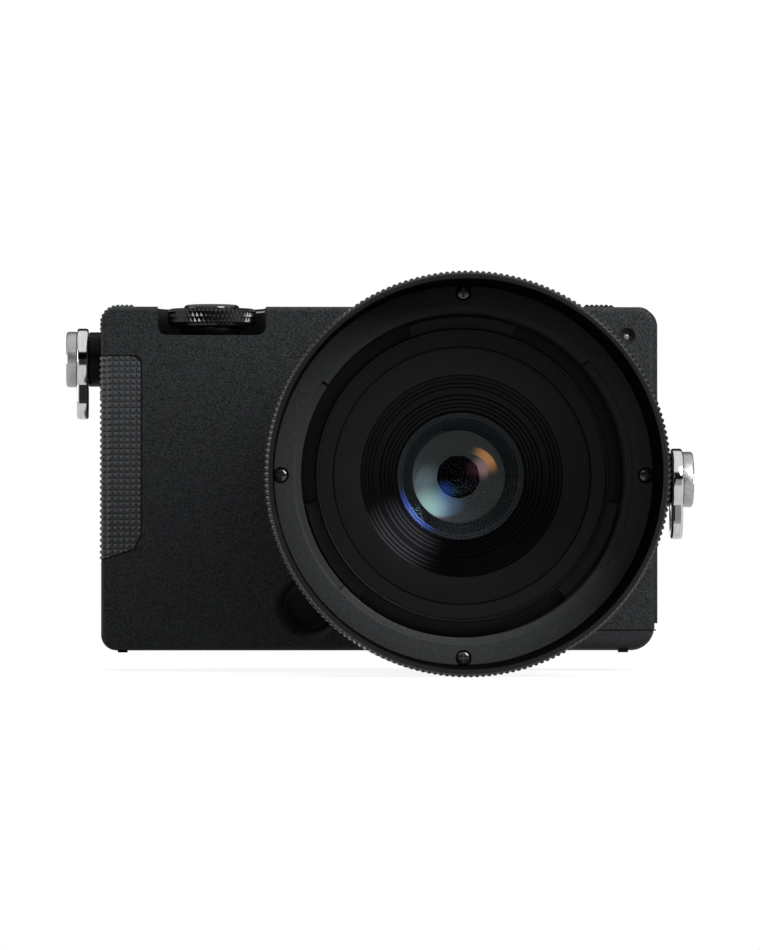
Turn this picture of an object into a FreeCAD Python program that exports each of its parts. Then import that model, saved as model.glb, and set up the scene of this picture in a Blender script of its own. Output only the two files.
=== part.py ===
# Boxy mirrorless camera with a compact prime lens and a serrated metal hood, in millimetres.
# The origin is the mouth of the bottom tripod socket, below the lens axis.
# +Z is up and the lens points to -Y.
import FreeCAD
import Part
import math
import os

# Casing
body_width = 112.6
body_height = 69.9
lens_offset = 15.1
front_face_y = -18.0
front_case_depth = 28.0
heat_sink_depth = 4.0
rear_case_depth = 9.0
screen_proud = 2.0
wall = 2.0
front_wall = 2.2
over = 1.0
corner_radius = 3.2
low_right_radius = 4.8
side_rise = 0.65
side_drop = 0.15
side_setback = 1.6
side_bottom_z = 5.5
edge_round = 1.0
fin_width = 1.2
fin_pitch = 2.4
fin_depth = 3.0
fin_count = 14
sink_inset = 0.5
skin_gap = 0.1
least_round = 0.3

# Sockets and strap holders
socket_y = -4.0
socket_bore = 2.6
socket_depth = 5.5
socket_radius = 5.0
socket_length = 6.5
strap_left_drop = 10.4
spacer_radius = 5.6
spacer_thickness = 2.5
right_spacer_extra = 0.85
eyelet_thickness = 2.4
eyelet_radius = 6.4
eyelet_loop_drop = 8.3
eyelet_loop_radius = 4.0
eyelet_hole = 2.1
screw_head_radius = 5.7
screw_head_thickness = 2.05
screw_shoulder_radius = 3.6
screw_length = 4.8
coin_slot_width = 2.1
coin_slot_depth = 1.0
coin_slot_rim_depth = 0.25
turning_gap = 0.06
side_gap = 0.15

# Front dial and shutter button
dial_inset = 22.5
dial_setback = 10.3
dial_radius = 9.05
dial_height = 3.65
dial_top_drop = 0.35
dial_web = 2.1
dial_bore_gap = 0.25
bezel_overhang = 0.85
dial_gap = 0.1
dial_chamfer = 0.7
bezel_thickness = 1.7
pocket_gap = 1.95
pocket_wall = 1.2
pocket_round = 1.9
post_radius = 4.0
shutter_radius = 5.7
shutter_stem = 2.0
shutter_cap = 1.4
shutter_proud = 0.7
cap_lift = 0.3
collar_thickness = 0.8

# Top controls
record_inset = 41.9
record_y = -4.0
record_radius = 3.0
button_gap = 0.2
button_collar = 1.0
switch_y = -4.0
power_switch_inset = 10.63
mode_switch_inset = 38.7
switch_length = 6.2
switch_width = 5.6
switch_travel = 4.0
switch_recess = 1.2
power_switch_proud = 0.9
mode_switch_drop = 0.1
stem_width = 2.0

# Lens release
release_x = -29.2
release_share = 0.1316
release_radius = 5.1
release_recess_radius = 6.9
release_recess_depth = 1.0
link_thickness = 1.2
link_width = 3.0
pin_radius = 1.1
pin_circle = 28.3
pin_reach = 1.2

# Focus lamp
lamp_inset = 5.65
lamp_drop = 6.0
lamp_radius = 0.66
lamp_recess_radius = 1.75
lamp_proud = 0.3
lamp_length = 2.5

# Rubber grips
grip_left_wrap = 8.0
grip_width = 8.3
grip_top_drop = 9.9
grip_bottom_z = 18.2
grip_corner = 1.6
grip_slant_height = 5.3
grip_slant_knee = 1.4
grip_knee_height = 2.2
grip_thickness = 0.9
grip_proud = 0.3
thumb_reach_top = 6.4
thumb_drop = 18.0
thumb_thickness = 1.1
thumb_rise = 1.6
thumb_side = 0.6

# Feet and the corner cover
foot_length = 2.2
foot_width = 2.0
foot_height = 0.4
foot_left_inset = 4.4
foot_right_inset = 6.4
foot_y_front = -16.2
foot_y_rear = 18.5
corner_cover_width = 19.0
corner_cover_height = 4.0
corner_cover_gap = 0.25
corner_cover_round = 2.0

# Battery and its door
battery_width = 31.0
battery_depth = 14.0
battery_height = 47.0
battery_inset = 3.4
battery_front_y = -13.0
battery_round = 1.0
door_inset = 3.2
door_length = 34.0
door_front_y = -14.2
door_depth = 16.6
door_thickness = 1.5
door_gap = 0.15
latch_length = 7.0
latch_width = 6.0
latch_travel = 1.5
latch_tongue = 1.2
latch_plate = 0.6
hinge_pin_radius = 0.4
hinge_pin_length = 0.9

# Covers of the side sockets
cover_front_y = -11.0
cover_hinge_y = 7.0
cover_thickness = 1.2
cover_proud = 0.2
upper_cover_drop = 11.9
upper_cover_height = 9.6
lower_cover_bottom = 6.4
lower_cover_height = 15.4

# Screen and rear controls
screen_left_inset = 21.9
screen_right_inset = 4.7
screen_bottom_z = 8.0
screen_top_drop = 7.9
screen_frame = 1.4
glass_thickness = 1.6
control_inset = 11.1
rear_dial_share = 0.43
quick_share = 0.637
lock_share = 0.801
menu_share = 0.186
rear_dial_radius = 8.8
rear_dial_bore = 5.0
rear_dial_height = 1.6
rear_dial_recess = 1.3
ok_radius = 4.2
rear_button_radius = 2.8
rear_button_proud = 0.5

# Inside the body
board_thickness = 1.6
board_left_inset = 25.4
board_right_inset = 5.2
board_bottom_z = 6.0
board_top_drop = 8.9
sensor_width = 44.0
sensor_height = 34.0
sensor_front_y = -2.3
sensor_plate = 4.0
sensor_core_share = 0.7
port_height = 3.4
port_shell = 0.7
port_mouth = 3.6
port_depth = 6.9
port_length = 8.0
case_screw_radius = 0.9
case_screw_head_radius = 1.6
case_screw_head_top = 1.3
case_screw_length = 3.8
case_screw_count = 4

# Lens mount
mount_proud = 2.3
mount_radius = 31.0
mount_throat = 25.8
mount_seat = 1.0
mount_lug_inner = 24.1
mount_lug_depth = 2.3
mount_lug_degrees = 30.0
lens_lug_degrees = 28.0
lens_lug_outer = 25.6
lens_sleeve_outer = 23.9
lens_sleeve_inner = 21.6
lens_flange = 2.0
lens_sleeve_depth = 5.0
claw_count = 4
groove_depth = 1.5
groove_margin_degrees = 1.0
lens_turn_degrees = 60.0

# Lens
lens_length = 46.2
lens_radius = 32.0
ring_wall = 2.8
core_wall = 3.2
guide_wall = 6.0
guide_length = 4.2
barrel_taper = 1.0
flange_thickness = 1.2
flange_bevel = 0.4
rim_bevel = 0.3
barrel_band = 8.8
aperture_ring_width = 8.2
focus_ring_width = 14.2
ring_gap = 0.3
ring_seat_gap = 0.06
front_barrel_length = 6.7
rim_inset = 3.15
thread_wall = 1.75
filter_depth = 3.0
name_ring_width = 6.1
name_ring_slope = 0.7
trim_depth = 5.0
cell_wall = 2.0
baffle_steps = 6
baffle_slope = 0.01
front_glass_radius = 12.55
front_glass_setback = 7.6
front_glass_length = 4.0
glass_lip = 0.4
glass_ledge = 0.9
glass_gap = 0.1
glass_fit = 0.02
front_dome = 1.5
front_hollow = 1.0
focus_cell_length = 6.0
focus_travel = 3.0
focus_cell_gap = 4.0
rear_glass_radius = 13.0
rear_glass_length = 3.8
rear_hollow = 0.8
rear_dome = 1.2
cell_rim = 8.0
cell_glass_inset = 1.0
cell_front_dome = 0.8
cell_rear_dome = 0.6
focus_switch_length = 4.0
focus_switch_width = 6.0
focus_switch_travel = 2.5
focus_switch_degrees = 55.0
focus_switch_sink = 1.2
focus_switch_proud = 0.4

# Iris
blade_count = 9
blade_inner = 8.6
blade_outer = 12.4
blade_pivot_circle = 14.6
blade_tab_radius = 0.9
blade_thickness = 0.09
blade_pitch = 0.13
blade_rest_degrees = 17.3
blade_full_degrees = 30.0
blade_pin_degrees = 12.0
blade_pin_radius = 0.45
blade_pin_gap = 0.04
blade_start_degrees = -5.0
blade_end_degrees = 122.0
ring_share = 2.0 / 3.0
iris_plate = 1.5
iris_ring_thickness = 1.0
iris_vertex_degrees = 30.0
iris_setback = 1.0
iris_ring_lift = 0.2
iris_ring_wall = 1.9
iris_hole_gap = 0.6
iris_layer_gap = 0.1
blade_tab_overlap = 0.3
slot_spare_degrees = 1.0
tab_spare_degrees = 3.5

# Hood
hood_overhang = 7.2
hood_wall = 1.3
hood_reach = 27.0
hood_overlap = 0.5
hood_bevel = 0.4
base_reach = 5.0
base_plate = 2.2
base_bore_inset = 0.2
base_sleeve_wall = 1.5
base_rear_gap = 1.5
hood_lug_depth = 1.5
hood_lug_gap = 0.45
hood_lug_degrees = 40.0
hood_lug_count = 3
hood_screw_head = 1.5
hood_screw_gap = 0.1
hood_screw_edge = 0.03
hood_screw_shank = 0.8
hood_screw_sink = 1.2
hood_screw_cover = 0.6
hood_screw_count = 4
recess_width = 1.3
recess_depth = 1.0
recess_start_degrees = 146.0
recess_degrees = 77.0

# Planes and centres worked out from the sizes above
axis_z = body_height / 2
core_radius = lens_radius - ring_wall
barrel_bore = core_radius - core_wall
guide_radius = barrel_bore - guide_wall
rim_radius = lens_radius - rim_inset
filter_radius = rim_radius - thread_wall
name_ring_inner = barrel_bore - name_ring_width
hood_radius = lens_radius + hood_overhang
hood_inner = hood_radius - hood_wall
base_outer = hood_inner - ring_gap
base_inner = lens_radius - base_bore_inset
base_sleeve_outer = base_inner + base_sleeve_wall
hood_flange_inner = base_sleeve_outer + ring_gap
hood_lug_inner = rim_radius + hood_lug_gap
recess_outer = base_inner + recess_width
body_left = -body_width / 2 - lens_offset
body_right = body_width / 2 - lens_offset
side_face = body_right + side_rise
side_corner = corner_radius + side_rise
case_rear_y = front_face_y + front_case_depth
sink_rear_y = case_rear_y + heat_sink_depth
back_y = sink_rear_y + rear_case_depth
screen_y = back_y + screen_proud
mount_y = front_face_y - mount_proud
lens_front_y = mount_y - lens_length
hood_front_y = lens_front_y - hood_reach
hood_rear_y = lens_front_y + hood_overlap
base_front_y = lens_front_y - base_reach
base_rear_y = lens_front_y + front_barrel_length - base_rear_gap
inner_front_y = front_face_y + front_wall
dial_x = body_left + dial_inset
dial_y = front_face_y + dial_setback
dial_top = body_height - dial_top_drop
dial_bottom = dial_top - dial_height
bezel_top = dial_bottom - dial_gap
pocket_floor = bezel_top - bezel_thickness
pocket_radius = dial_radius + pocket_gap
bezel_radius = dial_radius + bezel_overhang
dial_bore = shutter_radius + dial_bore_gap
post_top = dial_bottom + dial_web + 2 * dial_gap
record_x = body_left + record_inset
power_switch_x = body_right - power_switch_inset
mode_switch_x = body_right - mode_switch_inset
lamp_x = body_right - lamp_inset
lamp_z = body_height - lamp_drop
strap_left_z = body_height - strap_left_drop
grip_top_z = body_height - grip_top_drop
control_x = body_left + control_inset
release_z = body_height * release_share
rear_dial_z = body_height * rear_dial_share
quick_z = body_height * quick_share
lock_z = body_height * lock_share
menu_z = body_height * menu_share
screen_left_x = body_left + screen_left_inset
screen_right_x = body_right - screen_right_inset
screen_top_z = body_height - screen_top_drop
door_left_x = body_left + door_inset
door_axis_x = door_left_x + door_length
door_axis_z = door_thickness / 2
upper_cover_top = body_height - upper_cover_drop
upper_cover_bottom = upper_cover_top - upper_cover_height
lower_cover_top = lower_cover_bottom + lower_cover_height
cover_axis_x = side_face + cover_proud - cover_thickness / 2
board_front_y = case_rear_y - board_thickness
pin_degrees = math.degrees(math.atan2(release_z - axis_z, release_x))
pin_x = pin_circle * math.cos(math.radians(pin_degrees))
pin_z = axis_z + pin_circle * math.sin(math.radians(pin_degrees))
blade_step_degrees = 360.0 / blade_count
first_blade_degrees = iris_vertex_degrees - blade_step_degrees / 2 - 90.0 - blade_rest_degrees / 2
focus_ring_from = lens_length - front_barrel_length - ring_gap - focus_ring_width
aperture_ring_from = focus_ring_from - barrel_band - aperture_ring_width
iris_seat = focus_ring_from - iris_setback
focus_cell_from = iris_seat - focus_cell_gap - focus_cell_length
stack_depth = blade_count * blade_pitch
iris_ring_from = iris_seat + iris_plate + stack_depth + iris_ring_lift
iris_ring_radius = blade_pivot_circle + iris_ring_wall
hood_screw_circle = base_outer - hood_screw_head - hood_screw_edge
base_plate_rear_y = base_front_y + base_plate


def box(x0, x1, y0, y1, z0, z1):
    return Part.makeBox(x1 - x0, y1 - y0, z1 - z0, FreeCAD.Vector(x0, y0, z0))


def rod_x(radius, x0, x1, y, z):
    return Part.makeCylinder(radius, x1 - x0, FreeCAD.Vector(x0, y, z), FreeCAD.Vector(1, 0, 0))


def rod_y(radius, y0, y1, x=0.0, z=axis_z):
    return Part.makeCylinder(radius, y1 - y0, FreeCAD.Vector(x, y0, z), FreeCAD.Vector(0, 1, 0))


def rod_z(radius, z0, z1, x, y):
    return Part.makeCylinder(radius, z1 - z0, FreeCAD.Vector(x, y, z0), FreeCAD.Vector(0, 0, 1))


def cone_y(radius0, radius1, y0, y1, x, z):
    return Part.makeCone(radius0, radius1, y1 - y0, FreeCAD.Vector(x, y0, z), FreeCAD.Vector(0, 1, 0))


def polar(radius, degrees, y):
    # a point about the lens axis, its angle counter-clockwise as seen from the front
    angle = math.radians(degrees)
    return FreeCAD.Vector(radius * math.cos(angle), y, axis_z + radius * math.sin(angle))


def turned(points):
    # a body of revolution about the lens axis, from (radius, y) points
    corners = [FreeCAD.Vector(radius, y, axis_z) for radius, y in points]
    face = Part.Face(Part.makePolygon(corners + corners[:1]))
    return face.revolve(FreeCAD.Vector(0, 0, axis_z), FreeCAD.Vector(0, 1, 0), 360)


def lens_turned(points):
    # the same, with each point's y given as its distance in front of the lens flange
    return turned([(radius, mount_y - distance) for radius, distance in points])


def sector(radius0, radius1, y0, y1, start, end):
    # a piece of a ring about the lens axis
    middle = (start + end) / 2
    outer = Part.Arc(polar(radius1, start, y0), polar(radius1, middle, y0), polar(radius1, end, y0))
    inner = Part.Arc(polar(radius0, end, y0), polar(radius0, middle, y0), polar(radius0, start, y0))
    sides = [Part.makeLine(polar(radius1, end, y0), polar(radius0, end, y0))]
    sides.append(Part.makeLine(polar(radius0, start, y0), polar(radius1, start, y0)))
    wire = Part.Wire([outer.toShape(), sides[0], inner.toShape(), sides[1]])
    return Part.Face(wire).extrude(FreeCAD.Vector(0, y1 - y0, 0))


def turn(shape, degrees, x=0.0, z=axis_z):
    # counter-clockwise as seen from the front
    return shape.rotated(FreeCAD.Vector(x, 0, z), FreeCAD.Vector(0, -1, 0), degrees)


def fuse(shapes):
    result = shapes[0].multiFuse(shapes[1:]) if len(shapes) > 1 else shapes[0]
    return result.removeSplitter()


def slab(x0, x1, y0, y1, z0, z1, radius):
    # a plate in the XZ plane with rounded corners
    block = box(x0, x1, y0, y1, z0, z1)
    corners = [edge for edge in block.Edges if abs(edge.tangentAt(edge.FirstParameter).y) > 0.99]
    return block.makeFillet(radius, corners)


def body_block(y0, y1, inset=0.0):
    # a slice of the camera's outline, drawn in by the inset
    block = box(body_left + inset, body_right - inset, y0, y1, inset, body_height - inset)
    block = block.makeFillet(max(low_right_radius - inset, least_round), corner_edges(block, True))
    return block.makeFillet(max(corner_radius - inset, least_round), corner_edges(block, False))


def corner_edges(block, low_right):
    # the edges along Y at the lower right corner, or those at the other three corners
    edges = []
    for edge in block.Edges:
        place = edge.CenterOfMass
        chosen = place.x > (body_left + body_right) / 2 and place.z < body_height / 2
        if abs(edge.tangentAt(edge.FirstParameter).y) > 0.99 and chosen == low_right:
            edges.append(edge)
    return edges


def round_face(shape, y, radius):
    # rounds the edges that lie in the plane at this y
    edges = []
    for edge in shape.Edges:
        bounds = edge.BoundBox
        if abs(bounds.YMin - y) < 0.001 and abs(bounds.YMax - y) < 0.001:
            edges.append(edge)
    return shape.makeFillet(radius, edges)


def grip_strip():
    # the moulded strip at the left of the front, which wraps round the side
    depth = grip_thickness - grip_proud
    outer = body_block(front_face_y - grip_proud, front_face_y + grip_left_wrap, -grip_proud)
    outer = round_face(outer, front_face_y - grip_proud, edge_round)
    inner = body_block(front_face_y + depth, front_face_y + grip_left_wrap + over, depth)
    right = body_left + grip_width
    left = body_left - over
    y = front_face_y - over
    knee_z = grip_bottom_z + grip_knee_height
    slant_z = grip_bottom_z + grip_slant_height
    centre = FreeCAD.Vector(right - grip_corner, y, grip_top_z - grip_corner)
    half = grip_corner * math.sqrt(0.5)
    arc_start = FreeCAD.Vector(right, y, centre.z)
    arc_middle = centre + FreeCAD.Vector(half, 0, half)
    arc_end = FreeCAD.Vector(centre.x, y, grip_top_z)
    low = [FreeCAD.Vector(left, y, grip_top_z), FreeCAD.Vector(left, y, grip_bottom_z)]
    low.append(FreeCAD.Vector(body_left, y, grip_bottom_z))
    low.append(FreeCAD.Vector(right - grip_slant_knee, y, knee_z))
    low.append(FreeCAD.Vector(right, y, slant_z))
    low.append(arc_start)
    edges = [Part.makeLine(first, second) for first, second in zip(low, low[1:])]
    edges.append(Part.Arc(arc_start, arc_middle, arc_end).toShape())
    edges.append(Part.makeLine(arc_end, low[0]))
    region = Part.Face(Part.Wire(edges)).extrude(FreeCAD.Vector(0, grip_left_wrap + 2, 0))
    return outer.cut(inner).common(region)


def thumb_grip():
    # the ribbed rest that goes over the top corner of the rear half
    depth = thumb_thickness - grip_proud
    front = sink_rear_y + edge_round
    rear = back_y - edge_round
    left = body_left - thumb_side
    top = body_height + thumb_rise
    outer = slab(left, body_right, front, rear, 0, top, corner_radius + thumb_side)
    inner = body_block(front - over, rear + over, depth)
    right = body_left + thumb_reach_top
    region = box(left - over, right, front, rear, body_height - thumb_drop, top + over)
    return outer.cut(inner).common(region)


def feet():
    left = body_left + foot_left_inset
    right = body_right - foot_right_inset
    half = foot_width / 2
    length = foot_length / 2
    solids = []
    for x in (left, right):
        for y in (foot_y_front, foot_y_rear):
            solids.append(box(x - half, x + half, y - length, y + length, -foot_height, wall / 2))
    return Part.Compound(solids)


def raised_side():
    # the low step on the right side, which carries the port covers
    front = front_face_y + side_setback
    top = body_height - side_drop
    block = slab(body_left, side_face, front, case_rear_y, 0, top, side_corner)
    left = body_right - side_corner
    return block.common(box(left, side_face, front, case_rear_y, side_bottom_z, body_height))


def case_shell(edge):
    # the front half before its openings are cut, with its front edges rounded by this much
    outer = round_face(body_block(front_face_y, case_rear_y), front_face_y, edge).fuse(raised_side())
    low = body_left + wall
    cavity = box(low, body_right - wall, inner_front_y, case_rear_y + over, wall, body_height - wall)
    shell = outer.cut(cavity)
    radius = pocket_radius + pocket_wall
    floor = pocket_floor - pocket_wall
    top = body_height - wall
    surround = rod_z(radius, floor, top, dial_x, dial_y)
    surround = surround.fuse(box(dial_x - radius, dial_x + radius, front_face_y, dial_y, floor, top))
    keep = box(body_left + over, body_right, front_face_y + over, case_rear_y, 0, body_height)
    return shell.fuse(surround.common(keep))


def corner_box(gap):
    left = body_right - corner_cover_width - gap
    top = corner_cover_height + gap
    return box(left, body_right + over, front_face_y - over, case_rear_y + over, -over, top)


def bottom_corner_cover():
    return case_shell(corner_cover_round).common(corner_box(0)).cut(feet())


def dial_pocket():
    top = body_height + 5 * over
    hole = rod_z(pocket_radius, pocket_floor, top, dial_x, dial_y)
    left = dial_x - pocket_radius
    mouth = slab(left, left + 2 * pocket_radius, front_face_y - over, dial_y, pocket_floor, top, pocket_round)
    bottom = pocket_floor - pocket_wall - over
    stem = rod_z(shutter_stem + button_gap, bottom, pocket_floor + over, dial_x, dial_y)
    return [hole, mouth, stem]


def switch_cut(x, direction):
    # the recess and the slot of one sliding switch
    half = switch_length / 2 + side_gap
    ends = sorted((x - direction * half, x + direction * (half + switch_travel)))
    side = switch_width / 2 + side_gap
    floor = body_height - switch_recess
    recess = box(ends[0], ends[1], switch_y - side, switch_y + side, floor, body_height + over)
    half = stem_width / 2 + side_gap
    ends = sorted((x - direction * half, x + direction * (half + switch_travel)))
    slot = box(ends[0], ends[1], switch_y - half, switch_y + half, floor - wall, body_height)
    return [recess, slot]


def release_cut():
    narrow = release_radius + button_gap
    front = front_face_y - mount_seat / 2
    floor = front_face_y + release_recess_depth
    slope = cone_y(release_recess_radius, narrow, front_face_y, floor, release_x, release_z)
    lead = rod_y(release_recess_radius, front, front_face_y, release_x, release_z)
    hole = rod_y(narrow, front, inner_front_y + over, release_x, release_z)
    pin_hole = rod_y(pin_radius + skin_gap, front, inner_front_y + over, pin_x, pin_z)
    return [slope, lead, hole, pin_hole]


def lamp_cut():
    rear = front_face_y + lamp_recess_radius
    recess = cone_y(lamp_recess_radius, lamp_radius, front_face_y, rear, lamp_x, lamp_z)
    hole = rod_y(lamp_radius, rear - skin_gap, inner_front_y + over, lamp_x, lamp_z)
    return [recess, hole]


def door_cut():
    rear = door_front_y + door_depth
    right = door_axis_x + door_axis_z + door_gap
    hole = box(door_left_x - door_gap, right, door_front_y - door_gap, rear + door_gap, -over, wall + over)
    middle = door_front_y + door_depth / 2
    half = latch_width / 2 + door_gap
    rebate_left = door_left_x - latch_tongue - door_gap
    top = latch_plate + 2 * door_gap
    rebate = box(rebate_left, door_left_x, middle - half, middle + half, -over, top)
    reach = door_gap + hinge_pin_length
    radius = hinge_pin_radius + turning_gap
    pins = rod_y(radius, door_front_y - reach, rear + reach, door_axis_x, door_axis_z)
    return [hole, rebate, pins]


def cover_cut(bottom, top):
    floor = side_face + cover_proud - cover_thickness - turning_gap
    rear = cover_hinge_y + cover_thickness / 2 + button_gap
    return box(floor, side_face + over, cover_front_y - door_gap, rear, bottom - door_gap, top + door_gap)


def port_heights():
    middle = (lower_cover_bottom + lower_cover_top) / 2
    offset = lower_cover_height / 4
    return [middle - offset, middle + offset, (upper_cover_bottom + upper_cover_top) / 2]


def port_cut(z):
    front = board_front_y - port_depth + port_shell
    half = port_height / 2
    return box(body_right - wall - over, side_face + over, front, front + port_mouth, z - half, z + half)


def front_case():
    cuts = dial_pocket() + switch_cut(power_switch_x, -1) + switch_cut(mode_switch_x, 1)
    cuts += release_cut() + lamp_cut() + door_cut()
    cuts.append(rod_y(mount_radius + turning_gap, front_face_y - over, front_face_y + mount_seat))
    cuts.append(rod_y(mount_throat + button_gap, front_face_y - over, inner_front_y + over))
    under = body_height - wall - over
    cuts.append(rod_z(record_radius + button_gap, under, body_height + over, record_x, record_y))
    cuts.append(rod_z(socket_radius, -over, wall + over, 0, 0))
    cuts.append(rod_x(socket_radius, body_left - over, body_left + wall + over, socket_y, strap_left_z))
    cuts.append(rod_x(socket_radius, body_right - wall - over, side_face + over, socket_y, axis_z))
    cuts.append(cover_cut(upper_cover_bottom, upper_cover_top))
    cuts.append(cover_cut(lower_cover_bottom, lower_cover_top))
    cuts += [port_cut(z) for z in port_heights()]
    cuts += [corner_box(corner_cover_gap), grip_strip()] + feet().Solids
    return case_shell(edge_round).cut(cuts)


def heat_sink():
    # the finned frame between the two halves
    plate = body_block(case_rear_y, sink_rear_y, sink_inset)
    middle = (body_left + body_right) / 2
    cuts = []
    for index in range(fin_count):
        left = middle + (index - fin_count / 2) * fin_pitch
        right = left + fin_width
        low = body_height - sink_inset - fin_depth
        cuts.append(box(left, right, case_rear_y - over, sink_rear_y + over, low, body_height))
        cuts.append(box(left, right, case_rear_y - over, sink_rear_y + over, 0, sink_inset + fin_depth))
    return plate.cut(cuts)


def body_screws():
    solids = []
    y = (sink_rear_y + back_y) / 2
    for index in range(case_screw_count):
        x = body_left + body_width * (index + 1) / (case_screw_count + 1)
        head = rod_z(case_screw_head_radius, side_gap, case_screw_head_top, x, y)
        shank = rod_z(case_screw_radius, case_screw_head_top, case_screw_length, x, y)
        solids.append(fuse([head, shank]))
    return Part.Compound(solids)


def screen_box(grow, front, rear):
    left = screen_left_x - grow
    right = screen_right_x + grow
    return box(left, right, front, rear, screen_bottom_z - grow, screen_top_z + grow)


def rear_case():
    outer = round_face(body_block(sink_rear_y, back_y), back_y, edge_round)
    low = body_left + wall
    cavity = box(low, body_right - wall, sink_rear_y - over, back_y - wall, wall, body_height - wall)
    frame = screen_box(screen_frame, back_y - over, screen_y - button_gap)
    case = outer.cut(cavity).fuse(frame)
    cuts = [screen_box(skin_gap, screen_y - glass_thickness, screen_y + over), thumb_grip()]
    for x, z in ((control_x, quick_z), (control_x, lock_z), (control_x, menu_z)):
        cuts.append(rod_y(rear_button_radius + button_gap, back_y - wall - over, back_y + over, x, z))
    cuts.append(rod_y(ok_radius + button_gap, back_y - wall - over, back_y + over, control_x, rear_dial_z))
    floor = back_y - rear_dial_recess
    ring = rod_y(rear_dial_radius + side_gap, floor, back_y + over, control_x, rear_dial_z)
    boss = rod_y(rear_dial_bore - turning_gap, floor - over, back_y + 2 * over, control_x, rear_dial_z)
    cuts.append(ring.cut(boss))
    cuts += body_screws().Solids + feet().Solids
    return case.cut(cuts)


def shutter_button():
    top = body_height + shutter_proud
    cap = rod_z(shutter_radius, top - shutter_cap, top, dial_x, dial_y)
    collar_top = pocket_floor - pocket_wall - cap_lift
    stem = rod_z(shutter_stem, collar_top - collar_thickness, top - shutter_cap, dial_x, dial_y)
    collar_radius = shutter_stem + button_collar
    collar = rod_z(collar_radius, collar_top - collar_thickness, collar_top, dial_x, dial_y)
    return fuse([cap, stem, collar])


def front_dial():
    centre = FreeCAD.Vector(dial_x, dial_y, dial_bottom)
    up = FreeCAD.Vector(0, 0, 1)
    skirt = Part.makeCone(dial_radius - dial_chamfer, dial_radius, dial_chamfer, centre, up)
    rim = rod_z(dial_radius, dial_bottom + dial_chamfer, dial_top, dial_x, dial_y)
    bore = rod_z(dial_bore, dial_bottom + dial_web, dial_top + over, dial_x, dial_y)
    turning = rod_z(post_radius + turning_gap, dial_bottom - over, dial_top, dial_x, dial_y)
    return fuse([skirt, rim]).cut([bore, turning])


def dial_bezel():
    flange = rod_z(bezel_radius, pocket_floor, bezel_top, dial_x, dial_y)
    post = rod_z(post_radius, bezel_top, post_top, dial_x, dial_y)
    bore = rod_z(shutter_stem + turning_gap, pocket_floor - over, post_top + over, dial_x, dial_y)
    return fuse([flange, post]).cut(bore)


def record_button():
    inner = body_height - wall - cap_lift
    cap = rod_z(record_radius, inner, body_height - dial_gap, record_x, record_y)
    collar = rod_z(record_radius + button_collar, inner - collar_thickness, inner, record_x, record_y)
    return fuse([cap, collar])


def sliding_switch(x, top):
    # a knob on the top face, its stem and the foot that holds it below the wall
    knob_bottom = body_height - switch_recess + turning_gap
    half = switch_length / 2
    side = switch_width / 2
    knob = box(x - half, x + half, switch_y - side, switch_y + side, knob_bottom, top)
    foot_top = body_height - wall - cap_lift
    half = stem_width / 2
    stem = box(x - half, x + half, switch_y - half, switch_y + half, foot_top, knob_bottom)
    foot_bottom = foot_top - collar_thickness
    foot = box(x - 2 * half, x + 2 * half, switch_y - 2 * half, switch_y + 2 * half, foot_bottom, foot_top)
    return fuse([knob, stem, foot])


def rear_button(x, z, radius, proud):
    inner = back_y - wall - cap_lift
    cap = rod_y(radius, inner, back_y + proud, x, z)
    collar = rod_y(radius + button_collar, inner - collar_thickness, inner, x, z)
    return fuse([cap, collar])


def rear_dial():
    floor = back_y - rear_dial_recess + turning_gap
    disc = rod_y(rear_dial_radius, floor, floor + rear_dial_height, control_x, rear_dial_z)
    return disc.cut(rod_y(rear_dial_bore, floor - over, back_y + 2, control_x, rear_dial_z))


def release_button():
    rear = inner_front_y + cap_lift
    cap = rod_y(release_radius, front_face_y, rear, release_x, release_z)
    collar = rod_y(release_radius + button_collar, rear, rear + collar_thickness, release_x, release_z)
    return fuse([cap, collar])


def lock_pin():
    # the pin that locks the lens, on the link that the release button pushes
    front = inner_front_y + cap_lift + collar_thickness
    rear = front + link_thickness
    pin = rod_y(pin_radius, mount_y - pin_reach, rear, pin_x, pin_z)
    length = math.hypot(pin_x - release_x, pin_z - release_z)
    half = link_width / 2
    bar = box(release_x, release_x + length, front, rear, release_z - half, release_z + half)
    slope = math.degrees(math.atan2(pin_z - release_z, pin_x - release_x))
    bar = turn(bar, slope, release_x, release_z)
    ends = [rod_y(half, front, rear, x, z) for x, z in ((release_x, release_z), (pin_x, pin_z))]
    return fuse([pin, bar] + ends)


def af_lamp():
    front = front_face_y + lamp_recess_radius - lamp_proud
    return rod_y(lamp_radius, front, front + lamp_length, lamp_x, lamp_z)


def battery():
    left = body_left + battery_inset
    bottom = door_thickness + skin_gap
    top = bottom + battery_height
    rear = battery_front_y + battery_depth
    return slab(left, left + battery_width, battery_front_y, rear, bottom, top, battery_round)


def battery_door():
    rear = door_front_y + door_depth
    plate = box(door_left_x, door_axis_x, door_front_y, rear, 0, door_thickness)
    knuckle = rod_y(door_axis_z, door_front_y, rear, door_axis_x, door_axis_z)
    reach = hinge_pin_length
    pin = rod_y(hinge_pin_radius, door_front_y - reach, rear + reach, door_axis_x, door_axis_z)
    middle = door_front_y + door_depth / 2
    half = latch_width / 2 + side_gap
    right = door_left_x + latch_length + latch_travel + side_gap
    room = box(door_left_x - over, right, middle - half, middle + half, -over, latch_plate + turning_gap)
    return fuse([plate, knuckle, pin]).cut(room)


def door_latch():
    middle = door_front_y + door_depth / 2
    half = latch_width / 2
    left = door_left_x - latch_tongue
    return box(left, door_left_x + latch_length, middle - half, middle + half, turning_gap, latch_plate)


def port_cover(bottom, top):
    outer = side_face + cover_proud
    plate = box(outer - cover_thickness, outer, cover_front_y, cover_hinge_y, bottom, top)
    edge = rod_z(cover_thickness / 2, bottom, top, cover_axis_x, cover_hinge_y)
    return fuse([plate, edge])


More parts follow.
